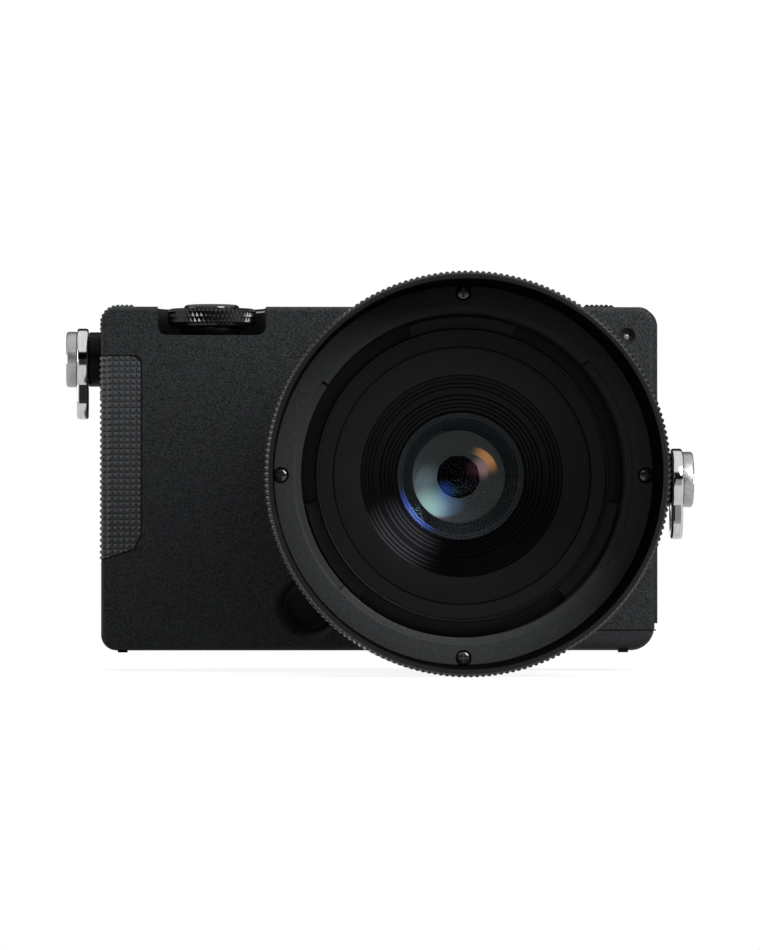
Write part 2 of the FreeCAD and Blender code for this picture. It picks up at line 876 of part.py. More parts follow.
def side_x(side, distance):
    # the place at a distance off the camera's left (-1) or right (1) side
    return body_left - distance if side < 0 else side_face + distance


def rod_out(side, radius, near, far, z):
    # a rod on one side, from one distance off the side to another
    ends = sorted((side_x(side, near), side_x(side, far)))
    return rod_x(radius, ends[0], ends[1], socket_y, z)


def spacer_depth(side):
    return spacer_thickness if side < 0 else spacer_thickness + right_spacer_extra


def tripod_sockets():
    bottom = rod_z(socket_radius, 0, socket_length, 0, 0).cut(rod_z(socket_bore, -over, socket_depth, 0, 0))
    solids = [bottom]
    for side, z in ((-1, strap_left_z), (1, axis_z)):
        bush = rod_out(side, socket_radius, -socket_length, 0, z)
        solids.append(bush.cut(rod_out(side, socket_bore, -socket_depth, over, z)))
    return Part.Compound(solids)


def strap_spacer(side, z):
    disc = rod_out(side, spacer_radius, 0, spacer_depth(side), z)
    return disc.cut(rod_out(side, socket_bore, -over, spacer_depth(side) + over, z))


def strap_screw(side, z):
    shoulder_near = spacer_depth(side)
    head_near = shoulder_near + eyelet_thickness + 2 * side_gap
    head_far = head_near + screw_head_thickness
    head = rod_out(side, screw_head_radius, head_near, head_far, z)
    shoulder = rod_out(side, screw_shoulder_radius, shoulder_near, head_near, z)
    shank = rod_out(side, socket_bore, -screw_length, shoulder_near, z)
    # the coin slot is cut by a large disc, so it is deeper in the middle than at the rim
    rise = coin_slot_depth - coin_slot_rim_depth
    cutter_radius = (screw_head_radius ** 2 + rise ** 2) / (2 * rise)
    cutter_x = side_x(side, head_far - coin_slot_depth + cutter_radius)
    half = coin_slot_width / 2
    slot = rod_z(cutter_radius, z - half, z + half, cutter_x, socket_y)
    return fuse([head, shoulder, shank]).cut(slot)


def strap_eyelet(side, z):
    near = spacer_depth(side) + side_gap
    far = near + eyelet_thickness
    ring = rod_out(side, eyelet_radius, near, far, z)
    loop = rod_out(side, eyelet_loop_radius, near, far, z - eyelet_loop_drop)
    ends = sorted((side_x(side, near), side_x(side, far)))
    half = eyelet_loop_radius
    neck = box(ends[0], ends[1], socket_y - half, socket_y + half, z - eyelet_loop_drop, z)
    turning = rod_out(side, screw_shoulder_radius + turning_gap, near - over, far + over, z)
    hole = rod_out(side, eyelet_hole, near - over, far + over, z - eyelet_loop_drop)
    return fuse([ring, loop, neck]).cut([turning, hole])


def lcd_glass():
    return screen_box(0, screen_y - glass_thickness, screen_y)


def main_board():
    top = body_height - board_top_drop
    right = body_right - board_right_inset
    board = box(body_left + board_left_inset, right, board_front_y, case_rear_y, board_bottom_z, top)
    solids = [board]
    far = body_right - wall - button_gap
    near = far - port_length
    front = board_front_y - port_depth
    half = port_height / 2
    for z in port_heights():
        block = box(near, far, front, board_front_y, z - half - port_shell, z + half + port_shell)
        mouth_front = front + port_shell
        mouth = box(near + over, far + over, mouth_front, mouth_front + port_mouth, z - half, z + half)
        solids.append(block.cut(mouth))
    return Part.Compound(solids)


def sensor_unit():
    half = sensor_width / 2
    side = sensor_height / 2
    rear = sensor_front_y + sensor_plate
    plate = box(-half, half, sensor_front_y, rear, axis_z - side, axis_z + side)
    half = half * sensor_core_share
    side = side * sensor_core_share
    core = box(-half, half, rear, board_front_y, axis_z - side, axis_z + side)
    return fuse([plate, core])


def body_mount_ring():
    rear = front_face_y + mount_seat
    ring = rod_y(mount_radius, mount_y, rear).cut(rod_y(mount_throat, mount_y - over, rear + over))
    pieces = [ring]
    for index in range(claw_count):
        middle = index * 360.0 / claw_count
        ends = (middle - mount_lug_degrees / 2, middle + mount_lug_degrees / 2)
        lug_outer = mount_throat + skin_gap
        pieces.append(sector(mount_lug_inner, lug_outer, mount_y, mount_y + mount_lug_depth, *ends))
    pin_hole = rod_y(pin_radius + skin_gap, mount_y - over, rear + over, pin_x, pin_z)
    return fuse(pieces).cut(pin_hole)


def lens_y(distance):
    return mount_y - distance


def lens_mount_ring():
    # the bayonet: a flange, a sleeve with four claws and the groove that the locking pin runs in
    profile = [(lens_sleeve_inner, lens_flange), (mount_radius, lens_flange), (mount_radius, 0)]
    profile += [(lens_sleeve_outer, 0), (lens_sleeve_outer, -lens_sleeve_depth)]
    profile.append((lens_sleeve_inner, -lens_sleeve_depth))
    pieces = [lens_turned(profile)]
    claw_front = mount_y + mount_lug_depth + ring_gap
    claw_rear = mount_y + lens_sleeve_depth - ring_gap
    for index in range(claw_count):
        middle = index * 360.0 / claw_count
        ends = (middle - lens_lug_degrees / 2, middle + lens_lug_degrees / 2)
        pieces.append(sector(lens_sleeve_outer - skin_gap, lens_lug_outer, claw_front, claw_rear, *ends))
    low = pin_circle - pin_radius - skin_gap
    high = pin_circle + pin_radius + skin_gap
    margin = math.degrees((pin_radius + skin_gap) / pin_circle) + groove_margin_degrees
    start = pin_degrees - lens_turn_degrees - margin
    groove = sector(low, high, lens_y(groove_depth), mount_y + over, start, pin_degrees + margin)
    return fuse(pieces).cut(groove)


def lens_barrel():
    # the fixed barrel: the core that both rings turn on, the focus guide and the seat of the rear glass
    core_end = lens_length - front_barrel_length
    aperture_end = aperture_ring_from + aperture_ring_width
    seat_gap = ring_gap / 2
    rear_bore = rear_glass_radius + ring_seat_gap
    guide_from = focus_cell_from - focus_travel - guide_length
    profile = [(rear_bore, lens_flange), (lens_radius - barrel_taper, lens_flange)]
    profile.append((lens_radius, lens_flange + barrel_taper))
    profile += [(lens_radius, aperture_ring_from - seat_gap), (core_radius, aperture_ring_from - seat_gap)]
    profile += [(core_radius, aperture_end + seat_gap), (lens_radius, aperture_end + seat_gap)]
    profile += [(lens_radius, focus_ring_from - seat_gap), (core_radius, focus_ring_from - seat_gap)]
    profile += [(core_radius, core_end), (barrel_bore, core_end), (barrel_bore, iris_seat)]
    profile += [(guide_radius, iris_seat), (guide_radius, guide_from), (rear_bore, guide_from)]
    barrel = lens_turned(profile)
    return barrel.cut(switch_room(focus_switch_travel))


def switch_room(travel):
    # the recess of the focus switch, cut where the barrel shows between the two rings
    front = lens_y(focus_switch_front() + side_gap)
    rear = front + focus_switch_length + travel + 2 * side_gap
    side = focus_switch_width / 2 + side_gap
    low = lens_radius - focus_switch_sink
    room = box(low, lens_radius + wall, front, rear, axis_z - side, axis_z + side)
    return turn(room, focus_switch_degrees)


def focus_switch_front():
    return focus_ring_from - ring_gap - 2 * side_gap


def focus_switch():
    front = lens_y(focus_switch_front())
    side = focus_switch_width / 2
    low = lens_radius - focus_switch_sink + turning_gap
    high = lens_radius + focus_switch_proud
    knob = box(low, high, front, front + focus_switch_length, axis_z - side, axis_z + side)
    return turn(knob, focus_switch_degrees)


def control_ring(start, width):
    bore = core_radius + ring_seat_gap
    end = start + width
    return lens_turned([(bore, start), (lens_radius, start), (lens_radius, end), (bore, end)])


def front_barrel():
    # the front of the barrel, with the filter thread inside and the hood's bayonet claws outside
    rear = lens_length - front_barrel_length
    flange_front = rear + flange_thickness
    thread_floor = lens_length - filter_depth
    profile = [(barrel_bore, rear), (lens_radius, rear), (lens_radius, flange_front - flange_bevel)]
    profile += [(lens_radius - flange_bevel, flange_front), (rim_radius, flange_front)]
    profile += [(rim_radius, lens_length - rim_bevel), (rim_radius - rim_bevel, lens_length)]
    profile += [(filter_radius, lens_length), (filter_radius, thread_floor), (barrel_bore, thread_floor)]
    pieces = [lens_turned(profile)]
    claw_rear = lens_y(flange_front + ring_gap + hood_lug_depth + ring_gap)
    outer = base_inner - 2 * ring_gap
    for middle in hood_lug_places():
        ends = (middle - hood_lug_degrees / 2, middle + hood_lug_degrees / 2)
        pieces.append(sector(rim_radius - skin_gap, outer, claw_rear - hood_lug_depth, claw_rear, *ends))
    return fuse(pieces)


def front_trim_ring():
    # the bare name ring, the stepped baffle inside it and the cell behind that holds the front glass
    outer = barrel_bore - skin_gap
    front = lens_length - filter_depth - skin_gap
    baffle_front = front - name_ring_slope
    baffle_rear = lens_length - front_glass_setback
    glass_seat = baffle_rear - glass_lip
    profile = [(outer, front), (name_ring_inner, baffle_front)]
    step_in = (name_ring_inner - front_glass_radius) / baffle_steps
    step_down = (baffle_front - baffle_rear) / baffle_steps
    for index in range(baffle_steps):
        depth = baffle_front - (index + 1) * step_down
        profile.append((name_ring_inner - index * step_in - baffle_slope, depth))
        profile.append((name_ring_inner - (index + 1) * step_in, depth))
    cell_rear = glass_seat - front_glass_length - glass_lip
    bore = front_glass_radius + glass_ledge
    rear = front - trim_depth
    profile += [(front_glass_radius, glass_seat), (bore, glass_seat), (bore, cell_rear)]
    profile += [(bore + cell_wall, cell_rear), (bore + cell_wall, rear), (outer, rear)]
    return lens_turned(profile)


def glass(radius, front, rear, front_rise, rear_rise):
    # a lens element between two distances in front of the flange, each face domed by its rise
    top = FreeCAD.Vector(0, lens_y(front + front_rise), axis_z)
    bottom = FreeCAD.Vector(0, lens_y(rear - rear_rise), axis_z)
    edge_front = FreeCAD.Vector(radius, lens_y(front), axis_z)
    edge_rear = FreeCAD.Vector(radius, lens_y(rear), axis_z)
    near = FreeCAD.Vector(radius / 2, lens_y(front + arc_rise(radius, front_rise)), axis_z)
    far = FreeCAD.Vector(radius / 2, lens_y(rear - arc_rise(radius, rear_rise)), axis_z)
    edges = [Part.Arc(top, near, edge_front).toShape(), Part.makeLine(edge_front, edge_rear)]
    edges += [Part.Arc(edge_rear, far, bottom).toShape(), Part.makeLine(bottom, top)]
    face = Part.Face(Part.Wire(edges))
    return face.revolve(FreeCAD.Vector(0, 0, axis_z), FreeCAD.Vector(0, 1, 0), 360)


def arc_rise(radius, rise):
    # the height of a spherical face halfway between its middle and its edge
    height = abs(rise)
    curve = (radius * radius + height * height) / (2 * height)
    middle = math.sqrt(curve * curve - radius * radius / 4) - (curve - height)
    return math.copysign(middle, rise)


def front_lens():
    front = lens_length - front_glass_setback - glass_lip - 3 * glass_gap
    radius = front_glass_radius + glass_ledge - glass_gap
    return glass(radius, front, front - front_glass_length, front_dome, -front_hollow)


def rear_lens():
    return glass(rear_glass_radius, lens_flange + rear_glass_length, lens_flange, -rear_hollow, rear_dome)


def focus_group():
    radius = guide_radius - ring_seat_gap
    end = focus_cell_from + focus_cell_length
    inner = radius - cell_rim
    cell = lens_turned([(inner, focus_cell_from), (radius, focus_cell_from), (radius, end), (inner, end)])
    rear = focus_cell_from + cell_glass_inset
    front = end - cell_glass_inset
    element = glass(inner - glass_fit, front, rear, cell_front_dome, cell_rear_dome)
    return Part.Compound([cell, element])


def iris_housing():
    bore = iris_ring_radius + ring_seat_gap
    outer = barrel_bore - skin_gap
    plate_front = iris_seat + iris_plate
    front = iris_ring_from + iris_ring_thickness
    hole = blade_inner + iris_hole_gap
    profile = [(hole, iris_seat), (outer, iris_seat), (outer, front), (bore, front), (bore, plate_front)]
    housing = lens_turned(profile + [(hole, plate_front)])
    pins = []
    for index in range(blade_count):
        centre = polar(blade_pivot_circle, first_blade_degrees + index * blade_step_degrees, 0)
        radius = blade_pin_radius + blade_pin_gap
        pins.append(rod_y(radius, lens_y(plate_front + over), lens_y(iris_seat - over), centre.x, centre.z))
    return housing.cut(pins)


def drive_pin_place(swing):
    # where a blade's driving pin lies, in the lens frame, when the blade has swung this far from open
    pivot = polar(blade_pivot_circle, 0, 0)
    pin = polar(blade_pivot_circle, blade_pin_degrees, 0)
    angle = math.radians(swing)
    x = pin.x - pivot.x
    z = pin.z - pivot.z
    swung_x = x * math.cos(angle) - z * math.sin(angle)
    swung_z = x * math.sin(angle) + z * math.cos(angle)
    return FreeCAD.Vector(pivot.x + swung_x, 0, pivot.z + swung_z)


def slot_place(swing):
    # the same place seen from the ring, which turns back by its share of the swing
    place = drive_pin_place(swing)
    radius = math.hypot(place.x, place.z - axis_z)
    degrees = math.degrees(math.atan2(place.z - axis_z, place.x))
    return polar(radius, degrees - swing * ring_share, 0)


def iris_ring():
    # the thin ring whose curved slots move the blades together
    front = lens_y(iris_ring_from + iris_ring_thickness)
    rear = lens_y(iris_ring_from)
    hole = rod_y(blade_inner + iris_hole_gap, front - over, rear + over)
    ring = rod_y(iris_ring_radius, front, rear).cut(hole)
    half = blade_pin_radius + 3 * blade_pin_gap
    swings = (-slot_spare_degrees, blade_full_degrees / 2, blade_full_degrees + slot_spare_degrees)
    places = [slot_place(swing) for swing in swings]
    curve = Part.Arc(*places)
    centre = curve.toShape().Curve.Center
    outward = [(place - centre).normalize() for place in places]
    start = front - over
    up = FreeCAD.Vector(0, start, 0)
    outer = Part.Arc(*[place + way * half + up for place, way in zip(places, outward)])
    inner = Part.Arc(*[place - way * half + up for place, way in zip(places, outward)][::-1])
    first = outer.toShape()
    second = inner.toShape()
    lines = [Part.makeLine(first.Vertexes[-1].Point, second.Vertexes[0].Point)]
    lines.append(Part.makeLine(second.Vertexes[-1].Point, first.Vertexes[0].Point))
    wire = Part.Wire(Part.__sortEdges__([first, lines[0], second, lines[1]]))
    depth = iris_ring_thickness + 2 * over
    slot = Part.Face(wire).extrude(FreeCAD.Vector(0, depth, 0))
    ends = [rod_y(half, start, start + depth, place.x, place.z) for place in (places[0], places[2])]
    slot = fuse([slot] + ends)
    slots = [turn(slot, first_blade_degrees + index * blade_step_degrees) for index in range(blade_count)]
    return turn(ring.cut(slots), blade_rest_degrees * ring_share)


def iris_blade(index):
    # one leaf in its own layer, with a pivot pin to the housing and a driving pin to the ring
    layer = iris_seat + iris_plate + iris_layer_gap + index * blade_pitch
    rear = lens_y(layer)
    front = rear - blade_thickness
    leaf = sector(blade_inner, blade_outer, front, rear, blade_start_degrees, blade_end_degrees)
    tab_low = blade_outer - blade_tab_overlap
    tab_high = blade_pivot_circle + blade_tab_radius
    ends = (blade_start_degrees + slot_spare_degrees, blade_pin_degrees + tab_spare_degrees)
    tab = sector(tab_low, tab_high, front, rear, *ends)
    pivot = polar(blade_pivot_circle, 0, 0)
    pin = polar(blade_pivot_circle, blade_pin_degrees, 0)
    pivot_rod = rod_y(blade_pin_radius, front, lens_y(iris_seat + iris_ring_lift), pivot.x, pivot.z)
    far = lens_y(iris_ring_from + iris_ring_thickness - iris_ring_lift)
    drive_rod = rod_y(blade_pin_radius, far, rear, pin.x, pin.z)
    blade = turn(fuse([leaf, tab, pivot_rod, drive_rod]), blade_rest_degrees, pivot.x, pivot.z)
    return turn(blade, first_blade_degrees + index * blade_step_degrees)


def hood_lug_places():
    return [90.0 + index * 360.0 / hood_lug_count for index in range(hood_lug_count)]


def screw_places():
    step = 360.0 / hood_screw_count
    return [polar(hood_screw_circle, index * step, 0) for index in range(hood_screw_count)]


def hood_base():
    # the bayonet ring that the hood's cylinder is screwed to
    profile = [(base_inner, base_front_y), (base_outer, base_front_y), (base_outer, base_plate_rear_y)]
    profile += [(base_sleeve_outer, base_plate_rear_y), (base_sleeve_outer, base_rear_y)]
    profile.append((base_inner, base_rear_y))
    pieces = [turned(profile)]
    claw_front = base_rear_y - hood_lug_depth
    for middle in hood_lug_places():
        ends = (middle - hood_lug_degrees / 2, middle + hood_lug_degrees / 2)
        pieces.append(sector(hood_lug_inner, base_inner + skin_gap, claw_front, base_rear_y, *ends))
    cuts = []
    front = base_front_y - over
    floor = base_front_y + recess_depth
    for start in (recess_start_degrees, recess_start_degrees + 180.0):
        cuts.append(sector(base_inner - over, recess_outer, front, floor, start, start + recess_degrees))
    for place in screw_places():
        head = hood_screw_head + hood_screw_gap
        cuts.append(rod_y(head, front, base_front_y + hood_screw_sink, place.x, place.z))
        cuts.append(rod_y(hood_screw_shank, base_front_y, base_plate_rear_y + over, place.x, place.z))
    return fuse(pieces).cut(cuts)


def hood_shell():
    # the cylinder, with the inner flange that its ring sits on
    profile = [(hood_radius - hood_bevel, hood_front_y), (hood_radius, hood_front_y + hood_bevel)]
    profile += [(hood_radius, hood_rear_y - hood_bevel), (hood_radius - hood_bevel, hood_rear_y)]
    profile += [(hood_flange_inner, hood_rear_y), (hood_flange_inner, base_plate_rear_y)]
    profile += [(hood_inner, base_plate_rear_y), (hood_inner, hood_front_y)]
    shell = turned(profile)
    holes = []
    for place in screw_places():
        holes.append(rod_y(hood_screw_shank, base_front_y, hood_rear_y - hood_screw_cover, place.x, place.z))
    return shell.cut(holes)


def hood_screws():
    solids = []
    head_rear = base_front_y + hood_screw_sink
    end = hood_rear_y - hood_screw_cover - 2 * skin_gap
    for place in screw_places():
        head = rod_y(hood_screw_head, base_front_y + skin_gap, head_rear, place.x, place.z)
        shank = rod_y(hood_screw_shank, head_rear, end, place.x, place.z)
        solids.append(fuse([head, shank]))
    return Part.Compound(solids)


parts = {
    "front_case": front_case(),
    "rear_case": rear_case(),
    "heat_sink": heat_sink(),
    "grip_strip": grip_strip(),
    "thumb_grip": thumb_grip(),
    "bottom_corner_cover": bottom_corner_cover(),
    "body_mount_ring": body_mount_ring(),
    "body_screws": body_screws(),
    "sensor_unit": sensor_unit(),
    "main_board": main_board(),
    "battery": battery(),
    "tripod_sockets": tripod_sockets(),
    "strap_screws": Part.Compound([strap_screw(-1, strap_left_z), strap_screw(1, axis_z)]),
    "strap_spacers": Part.Compound([strap_spacer(-1, strap_left_z), strap_spacer(1, axis_z)]),
    "strap_eyelet_left": strap_eyelet(-1, strap_left_z),
    "strap_eyelet_right": strap_eyelet(1, axis_z),
    "lcd_glass": lcd_glass(),
    "dial_bezel": dial_bezel(),
    "front_dial": front_dial(),
    "shutter_button": shutter_button(),
    "record_button": record_button(),
    "power_switch": sliding_switch(power_switch_x, body_height + power_switch_proud),
    "mode_switch": sliding_switch(mode_switch_x, body_height - mode_switch_drop),
    "rear_dial": rear_dial(),
    "ok_button": rear_button(control_x, rear_dial_z, ok_radius, rear_button_proud),
    "lock_button": rear_button(control_x, lock_z, rear_button_radius, rear_button_proud),
    "quick_button": rear_button(control_x, quick_z, rear_button_radius, rear_button_proud),
    "menu_button": rear_button(control_x, menu_z, rear_button_radius, rear_button_proud),
    "release_button": release_button(),
    "lock_pin": lock_pin(),
    "af_lamp": af_lamp(),
    "feet": feet(),
    "battery_door": battery_door(),
    "door_latch": door_latch(),
    "upper_port_cover": port_cover(upper_cover_bottom, upper_cover_top),
    "lower_port_cover": port_cover(lower_cover_bottom, lower_cover_top),
    "lens_mount_ring": lens_mount_ring(),
    "lens_barrel": lens_barrel(),
    "front_barrel": front_barrel(),
    "front_trim_ring": front_trim_ring(),
    "front_lens": front_lens(),
    "rear_lens": rear_lens(),
    "aperture_ring": control_ring(aperture_ring_from, aperture_ring_width),
    "focus_ring": control_ring(focus_ring_from, focus_ring_width),
    "focus_switch": focus_switch(),
    "focus_group": focus_group(),
    "iris_housing": iris_housing(),
    "iris_ring": iris_ring(),
    "hood_base": hood_base(),
    "hood_shell": hood_shell(),
    "hood_screws": hood_screws(),
}
for index in range(blade_count):
    parts["iris_blade_" + str(index + 1)] = iris_blade(index)

os.makedirs("parts", exist_ok=True)
for name, shape in parts.items():
    shape.exportStep("parts/" + name + ".step")
    print(name, len(shape.Solids), "solids", round(shape.Volume, 2), "mm3", shape.isValid())
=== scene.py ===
# A boxy mirrorless camera with its lens and hood, seen from the front: the finish and the fine forms.
# Geometry is worked out in millimetres and made in metres; lights, camera and floor are in metres.
import math

import bmesh
import bpy
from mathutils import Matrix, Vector


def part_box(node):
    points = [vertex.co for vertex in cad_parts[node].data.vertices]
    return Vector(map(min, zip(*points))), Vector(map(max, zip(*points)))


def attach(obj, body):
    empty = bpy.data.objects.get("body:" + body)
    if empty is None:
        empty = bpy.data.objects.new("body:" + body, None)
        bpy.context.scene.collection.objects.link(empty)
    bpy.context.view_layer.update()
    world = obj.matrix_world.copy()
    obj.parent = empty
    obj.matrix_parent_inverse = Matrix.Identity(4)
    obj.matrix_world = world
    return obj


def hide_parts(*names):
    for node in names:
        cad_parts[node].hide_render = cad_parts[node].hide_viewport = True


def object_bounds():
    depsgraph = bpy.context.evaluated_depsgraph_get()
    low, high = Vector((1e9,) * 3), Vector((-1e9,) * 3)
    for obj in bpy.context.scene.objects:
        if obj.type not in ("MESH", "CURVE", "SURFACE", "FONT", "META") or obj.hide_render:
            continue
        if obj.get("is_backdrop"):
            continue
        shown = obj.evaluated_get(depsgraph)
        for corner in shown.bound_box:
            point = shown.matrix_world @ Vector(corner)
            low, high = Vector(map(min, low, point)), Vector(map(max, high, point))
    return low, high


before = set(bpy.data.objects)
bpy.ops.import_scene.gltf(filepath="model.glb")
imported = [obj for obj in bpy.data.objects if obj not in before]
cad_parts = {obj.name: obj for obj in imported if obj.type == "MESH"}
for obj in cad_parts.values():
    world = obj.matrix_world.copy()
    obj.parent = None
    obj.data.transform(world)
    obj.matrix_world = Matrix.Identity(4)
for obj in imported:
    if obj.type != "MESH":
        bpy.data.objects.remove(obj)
cad_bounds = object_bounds()

MM = 0.001
FULL_TURN = 2 * math.pi
ROUND_STEPS = 4
SAME_POINT = 1e-7
NO_LENGTH = 1e-8


# Places taken from the frame, in millimetres
def low(node):
    return Vector(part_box(node)[0]) / MM


def high(node):
    return Vector(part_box(node)[1]) / MM


def middle(node):
    return (low(node) + high(node)) / 2


def half_width(node):
    return (high(node).x - low(node).x) / 2


AXIS_X = middle("hood_shell").x
AXIS_Z = middle("hood_shell").z
FRONT_Y = low("body_mount_ring").y


def lens_y(distance):
    """The place along Y at a distance in front of the lens flange."""
    return FRONT_Y - distance


def about_y(x, z):
    return lambda radius, angle, y: (x + radius * math.cos(angle), y, z + radius * math.sin(angle))


def about_z(x, y):
    return lambda radius, angle, z: (x + radius * math.cos(angle), y + radius * math.sin(angle), z)


def about_x(y, z):
    return lambda radius, angle, x: (x, y + radius * math.cos(angle), z + radius * math.sin(angle))


ABOUT_LENS = about_y(AXIS_X, AXIS_Z)


def seen_from_front(x, z, y):
    return (x, y, z)


def seen_from_side(y, z, x):
    return (x, y, z)


def seen_from_top(x, y, z):
    return (x, y, z)


# Meshes
def linked(name, data):
    """A new object in the scene."""
    thing = bpy.data.objects.new(name, data)
    bpy.context.scene.collection.objects.link(thing)
    return thing


def sharpen(mesh, degrees):
    for polygon in mesh.polygons:
        polygon.use_smooth = True
    mesh.set_sharp_from_angle(angle=math.radians(degrees))


def write_back(work, mesh, sharp_degrees):
    work.to_mesh(mesh)
    work.free()
    sharpen(mesh, sharp_degrees)


def make_object(name, verts, faces, sharp_degrees=35.0):
    mesh = bpy.data.meshes.new(name)
    mesh.from_pydata([tuple(Vector(vert) * MM) for vert in verts], [], faces)
    work = bmesh.new()
    work.from_mesh(mesh)
    bmesh.ops.remove_doubles(work, verts=work.verts, dist=SAME_POINT)
    bmesh.ops.dissolve_degenerate(work, edges=work.edges, dist=NO_LENGTH)
    bmesh.ops.recalc_face_normals(work, faces=work.faces)
    write_back(work, mesh, sharp_degrees)
    return linked(name, mesh)


def dress(piece, body, material, replaced=()):
    piece.data.materials.clear()
    piece.data.materials.append(material)
    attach(piece, body)
    if replaced:
        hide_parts(*replaced)
    return piece


def softened(points, closed=True):
    """A profile in which a third number says how far a corner is rounded back along its two edges."""
    result = []
    count = len(points)
    for index, point in enumerate(points):
        back = point[2] if len(point) > 2 else 0.0
        if back <= 0 or (not closed and index in (0, count - 1)):
            result.append((point[0], point[1]))
            continue
        corner = Vector(point[:2])
        start = corner + (Vector(points[index - 1][:2]) - corner).normalized() * back
        end = corner + (Vector(points[(index + 1) % count][:2]) - corner).normalized() * back
        for step in range(ROUND_STEPS + 1):
            share = step / ROUND_STEPS
            spot = start * (1 - share) ** 2 + corner * 2 * share * (1 - share) + end * share ** 2
            result.append((spot.x, spot.y))
    return result


def turned_mesh(place, profile_at, count, closed=True):
    """Verts and faces of a profile turned about an axis. profile_at gives the profile at each step round, as
    pairs of a radius and a place along the axis."""
    verts = []
    faces = []
    for step in range(count):
        angle = FULL_TURN * step / count
        profile = profile_at(step)
        size = len(profile)
        for radius, along in profile:
            verts.append(place(radius, angle, along))
    edges = size if closed else size - 1
    for step in range(count):
        here = step * size
        there = ((step + 1) % count) * size
        for index in range(edges):
            other = (index + 1) % size
            faces.append((here + index, here + other, there + other, there + index))
    return verts, faces


def turned(name, place, points, count=128, closed=True, sharp_degrees=35.0):
    """A round piece; points may carry a third number that rounds the corner."""
    profile = softened(points, closed)
    return make_object(name, *turned_mesh(place, lambda step: profile, count, closed), sharp_degrees)


def wavy(name, place, profile_at, count, sharp_degrees):
    """A round piece whose profile changes from step to step."""
    return make_object(name, *turned_mesh(place, profile_at, count), sharp_degrees)


def joined(pieces, sharp_degrees=35.0, name=None):
    """One object from several, which keeps the first one's name unless it is given another."""
    first = pieces[0]
    work = bmesh.new()
    for piece in pieces:
        work.from_mesh(piece.data)
    write_back(work, first.data, sharp_degrees)
    for piece in pieces[1:]:
        bpy.data.objects.remove(piece)
    first.name = name or first.name
    return first


def carved(piece, tool, operation="DIFFERENCE", sharp_degrees=35.0):
    """Cuts or keeps part of a piece with a closed tool, which is then removed."""
    modifier = piece.modifiers.new("carve", "BOOLEAN")
    modifier.operation = operation
    modifier.solver = "EXACT"
    modifier.object = tool
    bpy.context.view_layer.update()
    graph = bpy.context.evaluated_depsgraph_get()
    mesh = bpy.data.meshes.new_from_object(piece.evaluated_get(graph))
    piece.modifiers.clear()
    piece.data = mesh
    bpy.data.objects.remove(tool)
    work = bmesh.new()
    work.from_mesh(mesh)
    bmesh.ops.remove_doubles(work, verts=work.verts, dist=SAME_POINT)
    bmesh.ops.dissolve_degenerate(work, edges=work.edges, dist=SAME_POINT)
    loose = [vert for vert in work.verts if not vert.link_faces]
    bmesh.ops.delete(work, geom=loose, context="VERTS")
    write_back(work, mesh, sharp_degrees)
    return piece


def soften_edges(work, edges, rounding, segments, clamp_overlap):
    """Rounds edges of a mesh, where there is any rounding to make."""
    if rounding > 0:
        bmesh.ops.bevel(work, geom=edges, offset=rounding * MM, segments=segments, profile=0.5,
                        affect="EDGES", clamp_overlap=clamp_overlap)


def block(name, lows, highs, rounding=0.0, segments=3):
    """A box, with rounded edges where it has a rounding."""
    lows = Vector(lows)
    highs = Vector(highs)
    work = bmesh.new()
    bmesh.ops.create_cube(work, size=1.0)
    for vert in work.verts:
        for axis in range(3):
            vert.co[axis] = (lows[axis] if vert.co[axis] < 0 else highs[axis]) * MM
    soften_edges(work, list(work.edges), rounding, segments, False)
    mesh = bpy.data.meshes.new(name)
    write_back(work, mesh, 35.0)
    return linked(name, mesh)


def prism(name, outline, near, far, place, rounding=0.0, sharp_degrees=35.0):
    """A plate with a flat outline. place turns an outline point and a depth into a point, and rounding
    rounds the edges of the two faces."""
    work = bmesh.new()
    rings = []
    for depth in (near, far):
        rings.append([work.verts.new(Vector(place(first, second, depth)) * MM) for first, second in outline])
    caps = [work.faces.new(rings[0]), work.faces.new(rings[1])]
    count = len(outline)
    for index in range(count):
        other = (index + 1) % count
        work.faces.new((rings[0][index], rings[0][other], rings[1][other], rings[1][index]))
    bmesh.ops.recalc_face_normals(work, faces=work.faces)
    soften_edges(work, [edge for cap in caps for edge in cap.edges], rounding, 3, True)
    mesh = bpy.data.meshes.new(name)
    write_back(work, mesh, sharp_degrees)
    return linked(name, mesh)


def arc(centre, radius, start, end, steps):
    """Points on an arc between two angles in degrees."""
    points = []
    for step in range(steps + 1):
        angle = math.radians(start + (end - start) * step / steps)
        points.append((centre[0] + radius * math.cos(angle), centre[1] + radius * math.sin(angle)))
    return points


# Materials
LINES_X = (1.0, 0.03, 0.03)
LINES_ROUND = (0.04, 1.0, 0.04)
BROAD_SCALE = 45.0
SMEAR_SCALE = 120.0
GLASS_SMEAR_SCALE = 90.0
# the tilts of the normal away from front or back over which the painted reflection band on steel fades out
BAND_TILT = 0.17
BAND_END_TILT = 0.24


def feed(tree, socket, value):
    """Gives an input a value, or links it to the output that is given."""
    if isinstance(value, bpy.types.NodeSocket):
        tree.links.new(value, socket)
    else:
        socket.default_value = value


def add(tree, kind, *sockets, **settings):
    """A shader node. Each pair in sockets is an input and what it is fed with."""
    node = tree.nodes.new("ShaderNode" + kind)
    for setting, value in settings.items():
        setattr(node, setting, value)
    for key, value in sockets:
        feed(tree, node.inputs[key], value)
    return node


def math_node(tree, operation, first, second=0.0):
    return add(tree, "Math", (0, first), (1, second), operation=operation).outputs["Value"]


def vector_math(tree, operation, first, second):
    return add(tree, "VectorMath", (0, first), (1, second), operation=operation).outputs["Vector"]


def smooth_range(tree, source, start, end, low_value=0.0, high_value=1.0):
    node = add(tree, "MapRange", ("Value", source), ("From Min", start), ("From Max", end),
               ("To Min", low_value), ("To Max", high_value), interpolation_type="SMOOTHSTEP")
    return node.outputs["Result"]


